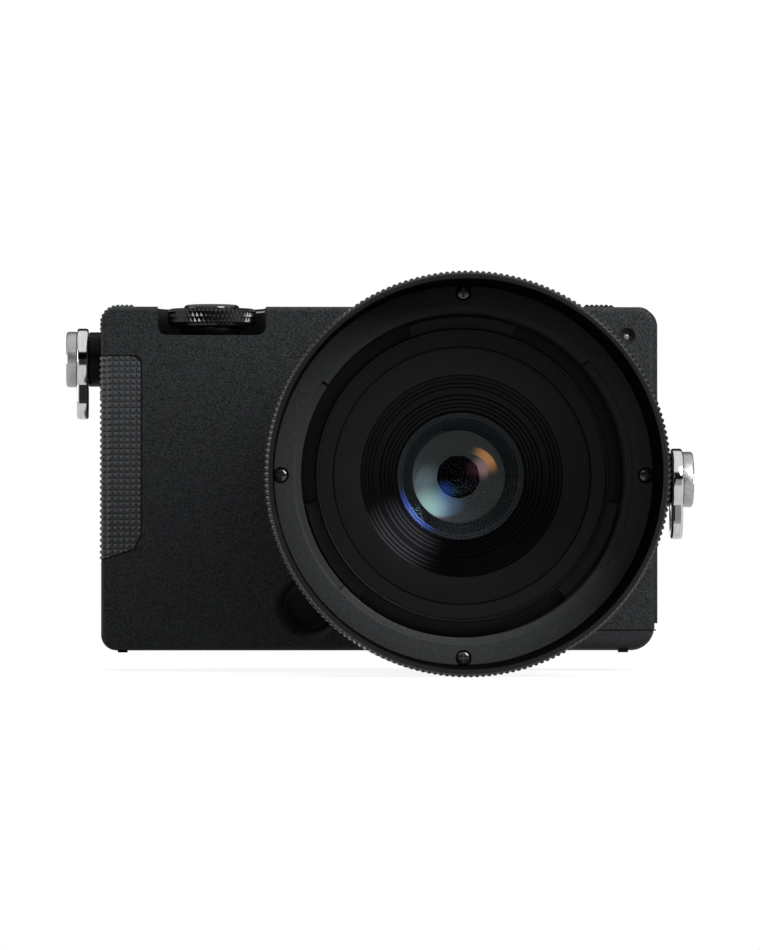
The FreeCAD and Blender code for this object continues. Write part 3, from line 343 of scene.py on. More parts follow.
def mixed(tree, share, first, second):
    return add(tree, "MixShader", ("Fac", share), (1, first.outputs[0]), (2, second.outputs[0]))


def summed(tree, first, second):
    return add(tree, "AddShader", (0, first.outputs[0]), (1, second.outputs[0]))


def new_material(name):
    material = bpy.data.materials.new(name)
    material.use_nodes = True
    tree = material.node_tree
    return material, tree, tree.nodes["Principled BSDF"]


def object_place(tree, stretch=None):
    place = add(tree, "TexCoord").outputs["Object"]
    if stretch is None:
        return place
    return add(tree, "Mapping", ("Scale", stretch), ("Vector", place)).outputs["Vector"]


def noise(tree, scale, detail=3.0, rough=0.5, stretch=None):
    texture = add(tree, "TexNoise", ("Scale", scale), ("Detail", detail), ("Roughness", rough),
                  ("Vector", object_place(tree, stretch)))
    return texture.outputs["Fac"]


def ramp(tree, source, stops):
    node = add(tree, "ValToRGB", ("Fac", source))
    elements = node.color_ramp.elements
    while len(elements) < len(stops):
        elements.new(0.5)
    for element, (position, colour) in zip(elements, stops):
        element.position = position
        element.color = (*colour, 1.0)
    return node.outputs["Color"]


def grey(value):
    return (value, value, value)


def scaled(colour, factor):
    return tuple(min(1.0, part * factor) for part in colour)


def finish(name, dark, light, roughness, grain, relief, metallic=0.0, level=0.5, stretch=None):
    """A fine-grained surface. grain is the size of a speck and relief the depth of its bump, in millimetres.
    dark and light are the colours of the pits and of the specks."""
    material, tree, shader = new_material(name)
    scale = 1.0 / (grain * MM)
    speck = noise(tree, scale, 2.0, 0.65, stretch)
    colours = ramp(tree, speck, [(0.36, dark), (0.52, scaled(light, 0.62)), (0.70, light)])
    broad = noise(tree, BROAD_SCALE)
    gloss = ramp(tree, broad, [(0.3, grey(roughness - 0.03)), (0.7, grey(roughness + 0.04))])
    grains = noise(tree, scale * 0.85, 2.0, 0.6, stretch)
    bump = add(tree, "Bump", ("Strength", 1.0), ("Distance", relief * MM), ("Height", grains))
    inputs = {"Base Color": colours, "Roughness": gloss, "Metallic": metallic, "Specular IOR Level": level,
              "Normal": bump.outputs["Normal"]}
    for key, value in inputs.items():
        feed(tree, shader.inputs[key], value)
    return material


def smooth(name, colour, roughness, coat=0.0, level=0.5):
    """Smooth plastic or lacquer with a little unevenness in its gloss and tone."""
    material, tree, shader = new_material(name)
    smear = noise(tree, SMEAR_SCALE)
    gloss = ramp(tree, smear, [(0.3, grey(roughness)), (0.75, grey(roughness + 0.04))])
    tones = ramp(tree, smear, [(0.2, colour), (0.9, scaled(colour, 1.2))])
    inputs = {"Base Color": tones, "Roughness": gloss, "Coat Weight": coat, "Specular IOR Level": level}
    for key, value in inputs.items():
        feed(tree, shader.inputs[key], value)
    return material


def painted_reflection_band(material, least):
    """Paints a dark reflection band into the colour of metal that faces straight to the front or back,
    down to the least share of its colour."""
    tree = material.node_tree
    colour = tree.nodes["Principled BSDF"].inputs["Base Color"]
    normal = add(tree, "NewGeometry").outputs["Normal"]
    parts = add(tree, "SeparateXYZ", ("Vector", normal)).outputs
    tilts = [math_node(tree, "ABSOLUTE", parts[axis]) for axis in ("X", "Z")]
    share = smooth_range(tree, math_node(tree, "MAXIMUM", *tilts), BAND_TILT, BAND_END_TILT, least)
    feed(tree, colour, vector_math(tree, "MULTIPLY", colour.links[0].from_socket, share))
    return material


CASING = finish("casing_paint", (0.0006, 0.0009, 0.001), (0.033, 0.0365, 0.0395), 0.5, 0.32, 0.09, 0.0, 0.16)
REAR_PAINT = finish("rear_paint", (0.0015, 0.0018, 0.002), (0.03, 0.033, 0.035), 0.5, 0.32, 0.06, 0.0, 0.16)
COVER_PAINT = finish("cover_paint", (0.005, 0.0056, 0.006), (0.028, 0.030, 0.033), 0.5, 0.34, 0.03, 0.0, 0.2)
DARK_METAL = finish("dark_anodised", grey(0.005), grey(0.011), 0.40, 0.25, 0.006, 0.1, 0.2)
HOOD_METAL = finish("hood_anodised", (0.003, 0.0033, 0.0034), (0.007, 0.0074, 0.0076), 0.27, 0.3, 0.006,
                    level=0.36)
BASE_METAL = finish("base_anodised", (0.035, 0.0365, 0.038), (0.059, 0.0625, 0.065), 0.46, 0.3, 0.008,
                    level=0.08)
BARREL_METAL = finish("barrel_anodised", (0.0018, 0.002, 0.002), (0.0038, 0.004, 0.004), 0.34, 0.3, 0.006,
                      level=0.23)
HOOD_INSIDE = finish("hood_inside", grey(0.0010), grey(0.0020), 0.6, 0.3, 0.01, 0.0, 0.02)
GRIP_RUBBER = finish("grip_rubber", (0.03, 0.0325, 0.035), (0.068, 0.073, 0.078), 0.36, 0.22, 0.002,
                     level=0.35)
COVER_RUBBER = finish("cover_rubber", grey(0.0012), grey(0.0028), 0.34, 0.3, 0.008, 0.0, 0.08)
MATTE_BLACK = finish("matte_black", grey(0.004), grey(0.010), 0.5, 0.25, 0.006)
NAME_BLACK = finish("name_ring_black", grey(0.0018), grey(0.004), 0.36, 0.3, 0.006, 0.0, 0.18)
BAFFLE_BLACK = finish("baffle_black", grey(0.0006), grey(0.0012), 0.24, 0.25, 0.002, 0.0, 0.12)
RED_PAINT = finish("record_red", (0.15, 0.006, 0.006), (0.28, 0.014, 0.012), 0.5, 0.3, 0.004, 0.0, 0.12)
# the painted dark reflection band is fainter on the eyelet on the right
BRIGHT_STEELS = {}
for steel_side, band_share in ((-1, 0.05), (1, 0.45)):
    steel = finish("polished_steel", grey(0.76), grey(0.88), 0.07, 0.12, 0.0002, 1.0, 0.5, LINES_X)
    BRIGHT_STEELS[steel_side] = painted_reflection_band(steel, band_share)
SATIN_STEEL = finish("satin_steel", (0.47, 0.465, 0.455), (0.60, 0.595, 0.58), 0.36, 0.10, 0.0012, 1.0, 0.5,
                     LINES_ROUND)
MOUNT_STEEL = finish("mount_steel", grey(0.42), grey(0.56), 0.28, 0.15, 0.002, 1.0, 0.5, LINES_ROUND)
BLACK_SCREW = smooth("black_screw", grey(0.012), 0.16, 0.5)
GLOSS_BLACK = smooth("gloss_black", grey(0.004), 0.09, 0.4)
KNURL_BLACK = smooth("knurl_black", grey(0.003), 0.19)
BUTTON_BLACK = smooth("button_black", grey(0.003), 0.34, 0.0, 0.2)
SCREEN_BLACK = smooth("screen_glass", (0.004, 0.004, 0.005), 0.04, 1.0)
SCREEN_GREY = smooth("screen_picture", (0.010, 0.011, 0.013), 0.05, 1.0)
RELEASE_BLACK = finish("release_black", grey(0.0015), grey(0.004), 0.4, 0.3, 0.006, 0.0, 0.12)
BOARD_GREEN = finish("circuit_board", (0.004, 0.03, 0.012), (0.006, 0.05, 0.02), 0.4, 0.8, 0.02)
CELL_GREY = finish("cell_wrap", grey(0.02), grey(0.045), 0.5, 0.4, 0.01)
SENSOR = smooth("sensor_cover", (0.012, 0.022, 0.030), 0.04, 1.0)
LAMP = smooth("lamp_lens", (0.24, 0.23, 0.235), 0.10, 1.0)
INDEX_WHITE = smooth("index_white", (0.88, 0.88, 0.87), 0.35)


# The soft coloured reflections between the lens elements, painted on as emission patches
def disc(tree, centre, near, far):
    """1 within a distance near of a line along Y, fading to 0 at a distance far, in millimetres. The centre
    is a place across and up from the lens axis."""
    flat = vector_math(tree, "MULTIPLY", object_place(tree), (1.0, 0.0, 1.0))
    line = ((AXIS_X + centre[0]) * MM, 0.0, (AXIS_Z + centre[1]) * MM)
    gap = add(tree, "VectorMath", (0, flat), (1, line), operation="DISTANCE")
    return smooth_range(tree, gap.outputs["Value"], near * MM, far * MM, 1.0, 0.0)


def painted_light_patches(tree, patches):
    """Painted light of some patches, standing in for reflections and highlights. A patch is a colour and the
    fades that bound it; a fade with a fourth value True keeps what lies outside it."""
    total = (0.0, 0.0, 0.0)
    for colour, fades in patches:
        part = colour
        for fade in fades:
            mask = disc(tree, *fade[:3])
            if len(fade) > 3:
                mask = math_node(tree, "SUBTRACT", 1.0, mask)
            part = vector_math(tree, "MULTIPLY", part, mask)
        total = vector_math(tree, "ADD", total, part)
    return total


def add_painted_light(material, patches):
    """Adds the patches of painted light, as emission, to a surface behind the glass."""
    tree = material.node_tree
    shader = tree.nodes["Principled BSDF"]
    feed(tree, shader.inputs["Emission Color"], painted_light_patches(tree, patches))
    shader.inputs["Emission Strength"].default_value = 1.0
    return material


def painted_spot_at(x, z):
    """The centre of a round shape in the painted reflections, across and up from the lens axis in
    millimetres.
    """
    return (x + 0.42, z - 0.36)


def ring_bounds(radius, near, far):
    """The fades that bound a thin ring about the lens axis."""
    return [((0.0, 0.0), radius + near, radius + far), ((0.0, 0.0), radius - far, radius - near, True)]


STOP_DISC = (painted_spot_at(-1.05, -0.94), 11.0, 11.3)
WARM_ARC = (painted_spot_at(1.85, 0.86), 5.45, 5.75)
MAUVE_ARC = (painted_spot_at(1.65, 1.04), 3.75, 4.05)
TEAL_ARC = (painted_spot_at(-3.4, -1.81), 5.6, 6.15)
OUTER_ARC = (painted_spot_at(-3.7, -1.9), 6.35, 6.9)
# painted reflections on the stop: a faint haze over it and the coloured arcs of the coatings
STOP_PAINTED_REFLECTIONS = [
    ((0.017, 0.0178, 0.017), [STOP_DISC]),
    ((0.34, 0.145, 0.045), [WARM_ARC, (*MAUVE_ARC, True), (painted_spot_at(5.4, 4.2), 0.6, 3.9)]),
    ((0.17, 0.095, 0.105), [MAUVE_ARC, (painted_spot_at(4.6, 2.3), 0.4, 3.0)]),
    ((0.23, 0.40, 0.34), [TEAL_ARC, (painted_spot_at(-6.45, -6.1), 0.4, 5.2)]),
    ((0.05, 0.085, 0.17), [TEAL_ARC, (painted_spot_at(-2.9, -5.2), 0.0, 4.6)]),
    ((0.055, 0.085, 0.095), [TEAL_ARC, (painted_spot_at(-6.8, -1.0), 0.0, 5.4)]),
    ((0.20, 0.15, 0.23), [OUTER_ARC, (*TEAL_ARC, True), (painted_spot_at(-7.5, -7.3), 0.4, 4.4)]),
    ((0.085, 0.07, 0.115), [STOP_DISC, (painted_spot_at(-8.5, -8.9), 0.0, 8.0)]),
    ((0.045, 0.047, 0.062), [STOP_DISC, (painted_spot_at(-11.8, -1.9), 0.0, 8.5)]),
    ((0.018, 0.018, 0.024), [STOP_DISC, (painted_spot_at(-2.0, -11.5), 0.0, 9.0)]),
]
# painted reflections seen through the stop's opening: blue at the lower left, dark red at the upper right
HOLE_PAINTED_REFLECTIONS = [
    ((0.002, 0.012, 0.060), [(painted_spot_at(-3.3, -2.6), 0.0, 2.6)]),
    ((0.001, 0.008, 0.004), [(painted_spot_at(-1.2, -2.4), 0.0, 1.4)]),
    ((0.012, 0.004, 0.005), [(painted_spot_at(3.0, 1.9), 0.0, 2.8)]),
]
# the thin blades of the stop, seen through the coatings, carry the coatings' coloured reflections as painted
# light
BLADE_GREY = add_painted_light(finish("blade_film", grey(0.004), grey(0.007), 0.4, 0.5, 0.002, 0.0, 0.2), STOP_PAINTED_REFLECTIONS)

# painted highlights: the baffle's ridges glow at the lower left, where they catch the light
BAFFLE_PAINTED_HIGHLIGHTS = [((0.010, 0.0105, 0.012), [((-12.0, -12.0), 2.0, 9.0)])]
for ridge_radius in (19.8, 19.1, 18.3, 17.5, 16.0, 15.1, 14.35, 13.65):
    ridge_bounds = ring_bounds(ridge_radius, 0.05, 0.28) + [((-12.0, -12.0), 2.0, 9.5)]
    BAFFLE_PAINTED_HIGHLIGHTS.append(((0.030, 0.031, 0.037), ridge_bounds))
add_painted_light(BAFFLE_BLACK, BAFFLE_PAINTED_HIGHLIGHTS)

# painted highlights: the bore's fine ridges are painted as glowing rings near the rim of the front glass,
# blue at the lower left
RIM_PAINTED_RINGS = []
for ring_radius in (11.7, 12.2, 12.7):
    bounds = ring_bounds(ring_radius, 0.02, 0.16)
    RIM_PAINTED_RINGS.append(((0.010, 0.011, 0.012), bounds))
    RIM_PAINTED_RINGS.append(((0.02, 0.05, 0.22), bounds + [((-9.5, -8.0), 1.0, 6.5)]))
RIM_PAINTED_RINGS.append(((0.004, 0.010, 0.075), [((0.0, 0.0), 12.9, 13.1), ((0.0, 0.0), 11.3, 11.6, True),
                                          ((-9.8, -7.6), 1.0, 6.5)]))


def coated_glass(name, tint, gloss_colour, gloss_share, edge_share, patches=()):
    """A lens surface: clear, with a weak coloured gloss that grows towards its rim; patches, where given,
    are added as painted light by emission.
    """
    material, tree, shader = new_material(name)
    tree.nodes.remove(shader)
    clear = add(tree, "BsdfTransparent", ("Color", (*tint, 1.0)))
    smear = noise(tree, GLASS_SMEAR_SCALE)
    gloss = ramp(tree, smear, [(0.25, scaled(gloss_colour, 0.85)), (0.75, gloss_colour)])
    shine = add(tree, "BsdfGlossy", ("Roughness", 0.05), ("Color", gloss))
    facing = add(tree, "LayerWeight", ("Blend", 0.35)).outputs["Facing"]
    amount = add(tree, "MapRange", ("To Min", gloss_share), ("To Max", edge_share), ("Value", facing))
    surface = mixed(tree, amount.outputs["Result"], clear, shine)
    if patches:
        surface = summed(tree, surface, add(tree, "Emission", ("Color", painted_light_patches(tree, patches))))
    feed(tree, tree.nodes["Material Output"].inputs["Surface"], surface.outputs[0])
    return material


# the front glass carries the painted ridge rings, and the inner glass the painted reflections seen through
# the stop
FRONT_GLASS = coated_glass("front_glass", (0.96, 0.97, 0.98), (0.55, 0.60, 0.70), 0.004, 0.10, RIM_PAINTED_RINGS)
INNER_GLASS = coated_glass("inner_glass", (0.95, 0.97, 0.96), (0.42, 0.60, 0.72), 0.003, 0.08, HOLE_PAINTED_REFLECTIONS)
REAR_GLASS = coated_glass("rear_glass", (0.94, 0.96, 0.97), (0.45, 0.40, 0.60), 0.02, 0.15)


# Camera, floor and light, in metres
CAMERA_TARGET = Vector((-14.74, -18.0, 35.66)) * MM
CAMERA_SIDE = math.radians(1.72)
CAMERA_BELOW = math.radians(0.71)
CAMERA_REACH = 1.4
CAMERA_LENS = 261.0
FLOOR_HALF = 12.0
SHADOW_NEAR = 0.10
SHADOW_FAR = 0.32
MIRRORED_WHITE = 0.72
LAMP_TARGET = (-0.01, -0.04, 0.035)
# name, place, target, size, power, and whether gloss mirrors it
STUDIO_LAMPS = (
    ("key", (0.20, -0.29, 0.22), (0.01, -0.03, 0.04), (0.20, 0.20), 1.45, True),
    ("above", (0.0, -0.03, 0.55), LAMP_TARGET, (0.9, 0.4), 3.4, False),
    ("right", (0.75, -0.16, 0.10), LAMP_TARGET, (0.20, 0.6), 0.6, True),
    ("left", (-0.75, 0.02, 0.13), LAMP_TARGET, (0.50, 0.25), 1.5, True),
    ("soft_front", (-0.35, -0.75, 0.30), LAMP_TARGET, (0.5, 0.5), 0.80, False),
    ("soft_back", (-0.40, 0.85, 0.40), LAMP_TARGET, (0.6, 0.6), 2.6, False),
)


def aim(thing, target):
    thing.rotation_euler = (Vector(target) - thing.location).to_track_quat("-Z", "Y").to_euler()


def add_camera():
    data = bpy.data.cameras.new("view")
    data.lens = CAMERA_LENS
    data.sensor_width = 36.0
    data.sensor_fit = "AUTO"
    data.clip_start = 0.05
    data.clip_end = 60.0
    camera = linked("view", data)
    way = Vector((-math.sin(CAMERA_SIDE), -math.cos(CAMERA_SIDE), -math.tan(CAMERA_BELOW)))
    camera.location = CAMERA_TARGET + way * CAMERA_REACH
    aim(camera, CAMERA_TARGET)
    bpy.context.scene.camera = camera


def add_lamp(name, place, target, size, power, in_gloss):
    data = bpy.data.lights.new(name, "AREA")
    data.shape = "RECTANGLE"
    data.size = size[0]
    data.size_y = size[1]
    data.energy = power
    lamp = linked(name, data)
    lamp.location = place
    aim(lamp, target)
    lamp.visible_glossy = in_gloss


def seen_directly(tree):
    """1 for the rays that should see the plain white background."""
    rays = add(tree, "LightPath").outputs
    return math_node(tree, "MAXIMUM", rays["Is Camera Ray"], rays["Is Transmission Ray"])


def mirrored(tree, amount):
    """The amount for the rays that metal and gloss send on, and 0 for the others."""
    return math_node(tree, "MULTIPLY", add(tree, "LightPath").outputs["Is Glossy Ray"], amount)


def add_floor():
    bottom = cad_bounds[0][2]
    half = FLOOR_HALF
    verts = [(-half, -half, bottom), (half, -half, bottom), (half, half, bottom), (-half, half, bottom)]
    mesh = bpy.data.meshes.new("floor")
    mesh.from_pydata(verts, [], [(0, 1, 2, 3)])
    floor = linked("floor", mesh)
    material, tree, shader = new_material("floor")
    feed(tree, shader.inputs["Base Color"], (0.05, 0.05, 0.05, 1.0))
    feed(tree, shader.inputs["Roughness"], 0.9)
    # close to the object the floor keeps its shadow, and further away it is as white as the background
    length = add(tree, "VectorMath", (0, object_place(tree)), operation="LENGTH")
    away = smooth_range(tree, length.outputs["Value"], SHADOW_NEAR, SHADOW_FAR)
    lit = add(tree, "BsdfDiffuse", ("Color", (0.15, 0.15, 0.15, 1.0)))
    near = summed(tree, lit, add(tree, "Emission", ("Strength", 0.90)))
    shown = mixed(tree, away, near, add(tree, "Emission", ("Strength", 1.0)))
    # gloss mirrors the white floor too, a little weaker than it is seen
    shown_to = math_node(tree, "MAXIMUM", seen_directly(tree), mirrored(tree, MIRRORED_WHITE))
    from_above = mixed(tree, shown_to, shader, shown)
    # seen from below, the floor lets the underside of the object show
    backfacing = add(tree, "NewGeometry").outputs["Backfacing"]
    surface = mixed(tree, backfacing, from_above, add(tree, "BsdfTransparent"))
    feed(tree, tree.nodes["Material Output"].inputs["Surface"], surface.outputs[0])
    mesh.materials.append(material)
    floor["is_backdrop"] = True


def add_world():
    """White where the camera looks; for the light, a bright front half above, a dark band level with the
    lens, and the white background straight behind."""
    world = bpy.data.worlds.new("studio")
    bpy.context.scene.world = world
    world.use_nodes = True
    tree = world.node_tree
    looking = add(tree, "TexCoord").outputs["Generated"]
    # the ranges are of the upward and the backward part of the direction
    parts = add(tree, "SeparateXYZ", ("Vector", looking)).outputs
    above = smooth_range(tree, parts["Z"], 0.25, 0.62)
    front = smooth_range(tree, parts["Y"], -0.02, 0.32, 1.0, 0.0)
    behind = smooth_range(tree, parts["Y"], 0.93, 0.97, 0.02, 1.0)
    soft = math_node(tree, "MULTIPLY", math_node(tree, "MULTIPLY", above, front), 0.28)
    # metal and gloss see the same white above them, with an edge that starts higher than the lens looks
    high_up = smooth_range(tree, parts["Z"], 0.38, 0.50)
    over = smooth_range(tree, parts["Y"], 0.55, 0.75, 1.0, 0.0)
    sky = mirrored(tree, math_node(tree, "MULTIPLY", high_up, over))
    level = math_node(tree, "ADD", math_node(tree, "MAXIMUM", soft, sky), behind)
    room = tree.nodes["Background"]
    feed(tree, room.inputs["Strength"], level)
    feed(tree, room.inputs["Color"], (0.97, 0.985, 1.0, 1.0))
    white = add(tree, "Background", ("Color", (1.0, 1.0, 1.0, 1.0)))
    surface = mixed(tree, seen_directly(tree), room, white)
    feed(tree, tree.nodes["World Output"].inputs["Surface"], surface.outputs[0])


add_camera()
add_floor()
add_world()
for lamp_settings in STUDIO_LAMPS:
    add_lamp(*lamp_settings)
bpy.context.scene.view_settings.view_transform = "Standard"


# The hood
HOOD_TEETH = 210
TOOTH_WAVE = (0.0, -0.04, -0.22, -0.40, -0.22, -0.04)
HOOD_RADIUS = half_width("hood_shell")
HOOD_FRONT = low("hood_shell").y
HOOD_REAR = high("hood_shell").y
HOOD_INNER = HOOD_RADIUS - 1.55
TEETH_LENGTH = 17.0
BASE_FRONT = low("hood_base").y
BASE_REAR = high("hood_base").y
PLATE_REAR = BASE_FRONT + 2.2
BASE_INNER = 31.8
BASE_OUTER = 37.1
BAND_OUTER = 33.0
SLEEVE_OUTER = 33.3
CLAW_INNER = 29.3
CLAW_THICK = 1.5
SCREW_CIRCLE = 35.75
SCREW_DEGREES = (0.0, 90.0, 180.0, 270.0)
RECESSES = ((146.0, 223.0), (326.0, 403.0))
CLAW_SPANS = ((70.0, 110.0), (190.0, 230.0), (310.0, 350.0))


def repaint(piece, material, chosen):
    """Gives a second material to the faces that are chosen by their distance from the lens axis and place
    along it."""
    piece.data.materials.append(material)
    for polygon in piece.data.polygons:
        spot = polygon.center / MM
        if chosen(math.hypot(spot.x - AXIS_X, spot.z - AXIS_Z), spot.y):
            polygon.material_index = 1


def hood_shell():
    radius = HOOD_RADIUS
    front = HOOD_FRONT
    valley = radius - 0.5
    teeth_end = front + TEETH_LENGTH
    # radius, place along the axis, and how much of the tooth wave it takes
    points = [(HOOD_INNER, front + 0.16, 0), (HOOD_INNER + 0.14, front, 0), (radius - 0.75, front, 0),
              (radius - 0.6, front + 0.1, 0), (valley, front + 0.25, 0.3), (radius, front + 0.75, 1),
              (radius, teeth_end, 1), (valley, teeth_end + 0.5, 0.3), (valley - 0.3, teeth_end + 0.7, 0),
              (valley - 0.3, teeth_end + 1.5, 0), (valley + 0.25, teeth_end + 1.8, 0),
              (valley + 0.25, HOOD_REAR - 1.1, 0), (valley - 0.5, HOOD_REAR, 0), (33.6, HOOD_REAR, 0),
              (33.6, PLATE_REAR, 0), (BASE_OUTER + 0.05, PLATE_REAR, 0)]

    def profile_at(step):
        change = TOOTH_WAVE[step % len(TOOTH_WAVE)]
        return [(away + change * share, along) for away, along, share in points]

    piece = wavy("serrated_hood_shell", ABOUT_LENS, profile_at, HOOD_TEETH * len(TOOTH_WAVE), 28.0)
    dress(piece, "hood", HOOD_METAL, ["hood_shell"])
    # the inside wall is a duller black than the rest
    wall = HOOD_INNER + 0.02
    repaint(piece, HOOD_INSIDE, lambda away, y: away < wall and front + 0.2 < y < PLATE_REAR - 0.1)


def between(degrees, spans):
    """How far inside any of the spans an angle lies, in degrees, or 0 outside them."""
    inside = 0.0
    for start, end in spans:
        for turn in (-360.0, 0.0, 360.0):
            inside = max(inside, min(degrees + turn - start, end - degrees - turn))
    return inside


def screw_places():
    """The places of the hood's screws, across and up."""
    places = []
    for degrees in SCREW_DEGREES:
        angle = math.radians(degrees)
        places.append((AXIS_X + SCREW_CIRCLE * math.cos(angle), AXIS_Z + SCREW_CIRCLE * math.sin(angle)))
    return places


def hood_base():
    count = 1440
    claw_front = BASE_REAR - CLAW_THICK

    def profile_at(step):
        degrees = 360.0 * step / count
        depth = min(1.0, between(degrees, RECESSES) / 0.75)
        claw = CLAW_INNER if between(degrees, CLAW_SPANS) > 0 else BASE_INNER
        lip = max(0.01, min(0.14, depth / 3))
        return softened([
            (claw, BASE_REAR), (claw, claw_front), (BASE_INNER, claw_front),
            (BASE_INNER, BASE_FRONT + 0.3 + depth * 0.7, 0.12),
            (BAND_OUTER, BASE_FRONT + 0.08 + depth * 0.92, lip),
            (BAND_OUTER + 0.08 + 0.2 * depth, BASE_FRONT, 0.1), (BASE_OUTER, BASE_FRONT, 0.14),
            (BASE_OUTER, PLATE_REAR), (SLEEVE_OUTER, PLATE_REAR), (SLEEVE_OUTER, BASE_REAR, 0.2)])

    piece = wavy("hood_bayonet_ring", ABOUT_LENS, profile_at, count, 30.0)
    well = [(0, BASE_FRONT - 1), (1.6, BASE_FRONT - 1), (1.6, BASE_FRONT + 1.2), (0, BASE_FRONT + 1.2)]
    wells = [turned("tool", about_y(x, z), well, 40, False) for x, z in screw_places()]
    piece = carved(piece, joined(wells), "DIFFERENCE", 30.0)
    dress(piece, "hood", BASE_METAL, ["hood_base"])


def cross_screw(x, z, front, radius, rear):
    """A domed head with a cross recess, facing the front."""
    head = turned("screw_head", about_y(x, z), [
        (0, front), (0.45 * radius, front + 0.03), (0.8 * radius, front + 0.17),
        (0.96 * radius, front + 0.4), (radius, front + 0.65), (radius, rear), (0, rear)], 40, False)
    arm = 0.62 * radius
    half = 0.13 * radius
    for across, up in ((arm, half), (half, arm)):
        bar = block("tool", (x - across, front - 1, z - up), (x + across, front + 0.55, z + up))
        head = carved(head, bar)
    return head


def hood_screws():
    heads = [cross_screw(x, z, BASE_FRONT + 0.1, 1.48, BASE_FRONT + 1.15) for x, z in screw_places()]
    dress(joined(heads, name="hood_cross_screws"), "hood", BLACK_SCREW, ["hood_screws"])


hood_shell()
hood_base()
hood_screws()


# The lens
BARREL_RADIUS = 32.0
RIM_RADIUS = 28.85
CLAW_OUTER = 31.2
THREAD_RADIUS = 28.35
THREAD_PITCH = 0.5
THREAD_TURNS = 3
RING_LIP = 25.5
LENS_FRONT = lens_y(46.2)
TRIM_FRONT = lens_y(43.1)
# the stepped baffle between the name ring and the front glass: radius and distance from the flange
BAFFLE_STEPS = (
    (19.9, 42.4), (19.75, 41.95), (19.15, 41.9), (19.0, 41.45), (18.4, 41.4), (18.2, 40.95), (17.6, 40.9),
    (17.4, 40.45), (16.1, 40.3), (15.85, 39.9), (15.2, 39.85), (15.0, 39.5), (14.45, 39.45),
    (14.25, 39.15), (13.75, 39.1), (13.55, 38.8), (12.95, 38.75), (12.65, 38.4),
)
GLASS_CELL = ((12.6, 38.2), (13.45, 38.2), (13.45, 33.4), (15.4, 33.4), (15.4, 38.1))


def front_barrel():
    rear = lens_y(39.5)
    flange = lens_y(40.7)
    claw_rear = flange - 2.1
    claw_front = claw_rear - CLAW_THICK
    count = 720
    # the filter thread inside the thin rim, then the flat ring that holds the name ring
    threads = []
    for index in range(THREAD_TURNS):
        y = LENS_FRONT + 0.3 + index * THREAD_PITCH
        threads += [(THREAD_RADIUS, y), (THREAD_RADIUS + 0.3, y + THREAD_PITCH / 2)]
    face = LENS_FRONT + 0.5 + THREAD_TURNS * THREAD_PITCH
    lip = RING_LIP - 0.08
    bore = [(THREAD_RADIUS, face), (RING_LIP, face), (lip, face + 0.08), (lip, lens_y(43.2)),
            (26.0, lens_y(43.2)), (26.0, rear)]

    def profile_at(step):
        claw = CLAW_OUTER if between(360.0 * step / count, CLAW_SPANS) > 0 else RIM_RADIUS
        outer = softened([
            (BARREL_RADIUS, rear), (BARREL_RADIUS, flange, 0.4), (RIM_RADIUS, flange),
            (RIM_RADIUS, claw_rear), (claw, claw_rear), (claw, claw_front), (RIM_RADIUS, claw_front),
            (RIM_RADIUS, LENS_FRONT, 0.2),
            (THREAD_RADIUS + 0.05, LENS_FRONT, 0.06), (THREAD_RADIUS, LENS_FRONT + 0.2)], False)
        return outer + threads + bore

    piece = wavy("threaded_lens_front", ABOUT_LENS, profile_at, count, 30.0)
    dress(piece, "lens", BARREL_METAL, ["front_barrel"])


def trim_ring():
    outer = 25.9
    groove = TRIM_FRONT + 0.25
    ring = [(outer, lens_y(38.1)), (outer, TRIM_FRONT + 0.1, 0.1), (25.45, TRIM_FRONT, 0.08), (25.4, groove),
            (25.25, groove), (25.2, TRIM_FRONT + 0.02, 0.08), (20.1, lens_y(42.42), 0.12)]
    inside = [(radius, lens_y(distance)) for radius, distance in BAFFLE_STEPS + GLASS_CELL]
    piece = turned("name_ring_and_baffle", ABOUT_LENS, ring + inside, 256, True, 25.0)
    dress(piece, "lens", NAME_BLACK, ["front_trim_ring"])
    # the baffle black carries the painted ridge highlights
    repaint(piece, BAFFLE_BLACK, lambda away, y: away < BAFFLE_STEPS[0][0] + 0.05)


def dome(name, radius, edge_distance, rise, material, thickness, replaced=()):
    """A thin glass cap: its rim at a distance from the flange, its middle further out by the rise."""
    rings = 24
    front = []
    back = []
    for index in range(rings + 1):
        away = radius * index / rings
        height = rise * (1 - (away / radius) ** 2)
        front.append((away, lens_y(edge_distance + height)))
        back.append((away, lens_y(edge_distance + height - thickness)))
    piece = turned(name, ABOUT_LENS, front + back[::-1], 128, False, 60.0)
    dress(piece, "lens", material, replaced)


front_barrel()
trim_ring()
dome("front_glass_outer", 13.35, 37.9, 1.5, FRONT_GLASS, 1.2, ["front_lens"])
dome("inner_glass", 12.6, 32.0, -2.0, INNER_GLASS, 0.4)


# The controls on the top
DIAL = middle("front_dial")
DIAL_RADIUS = half_width("front_dial")
DIAL_LOW = low("front_dial").z
DIAL_TOP = high("front_dial").z + 0.2
STUDS = 60
STUD_ROWS = 3
STUD_HEIGHT = 0.38
POCKET_RADIUS = 11.0
BUTTON_COLLAR = 1.0
COLLAR_THICKNESS = 0.8
RIDGE_HEIGHT = 0.36
KNOB_LOW = 68.76
SWITCH_STEM = 1.0
SWITCH_RIDGES = 6


def folded(verts, faces, x, y):
    """Splits each four-sided face along its lower diagonal, seen from an upright axis, to make it fold."""
    reach = [math.hypot(vert[0] - x, vert[1] - y) for vert in verts]
    halves = []
    for first, second, third, fourth in faces:
        if reach[first] + reach[third] < reach[second] + reach[fourth]:
            halves += [(first, second, third), (first, third, fourth)]
        else:
            halves += [(first, second, fourth), (second, third, fourth)]
    return halves


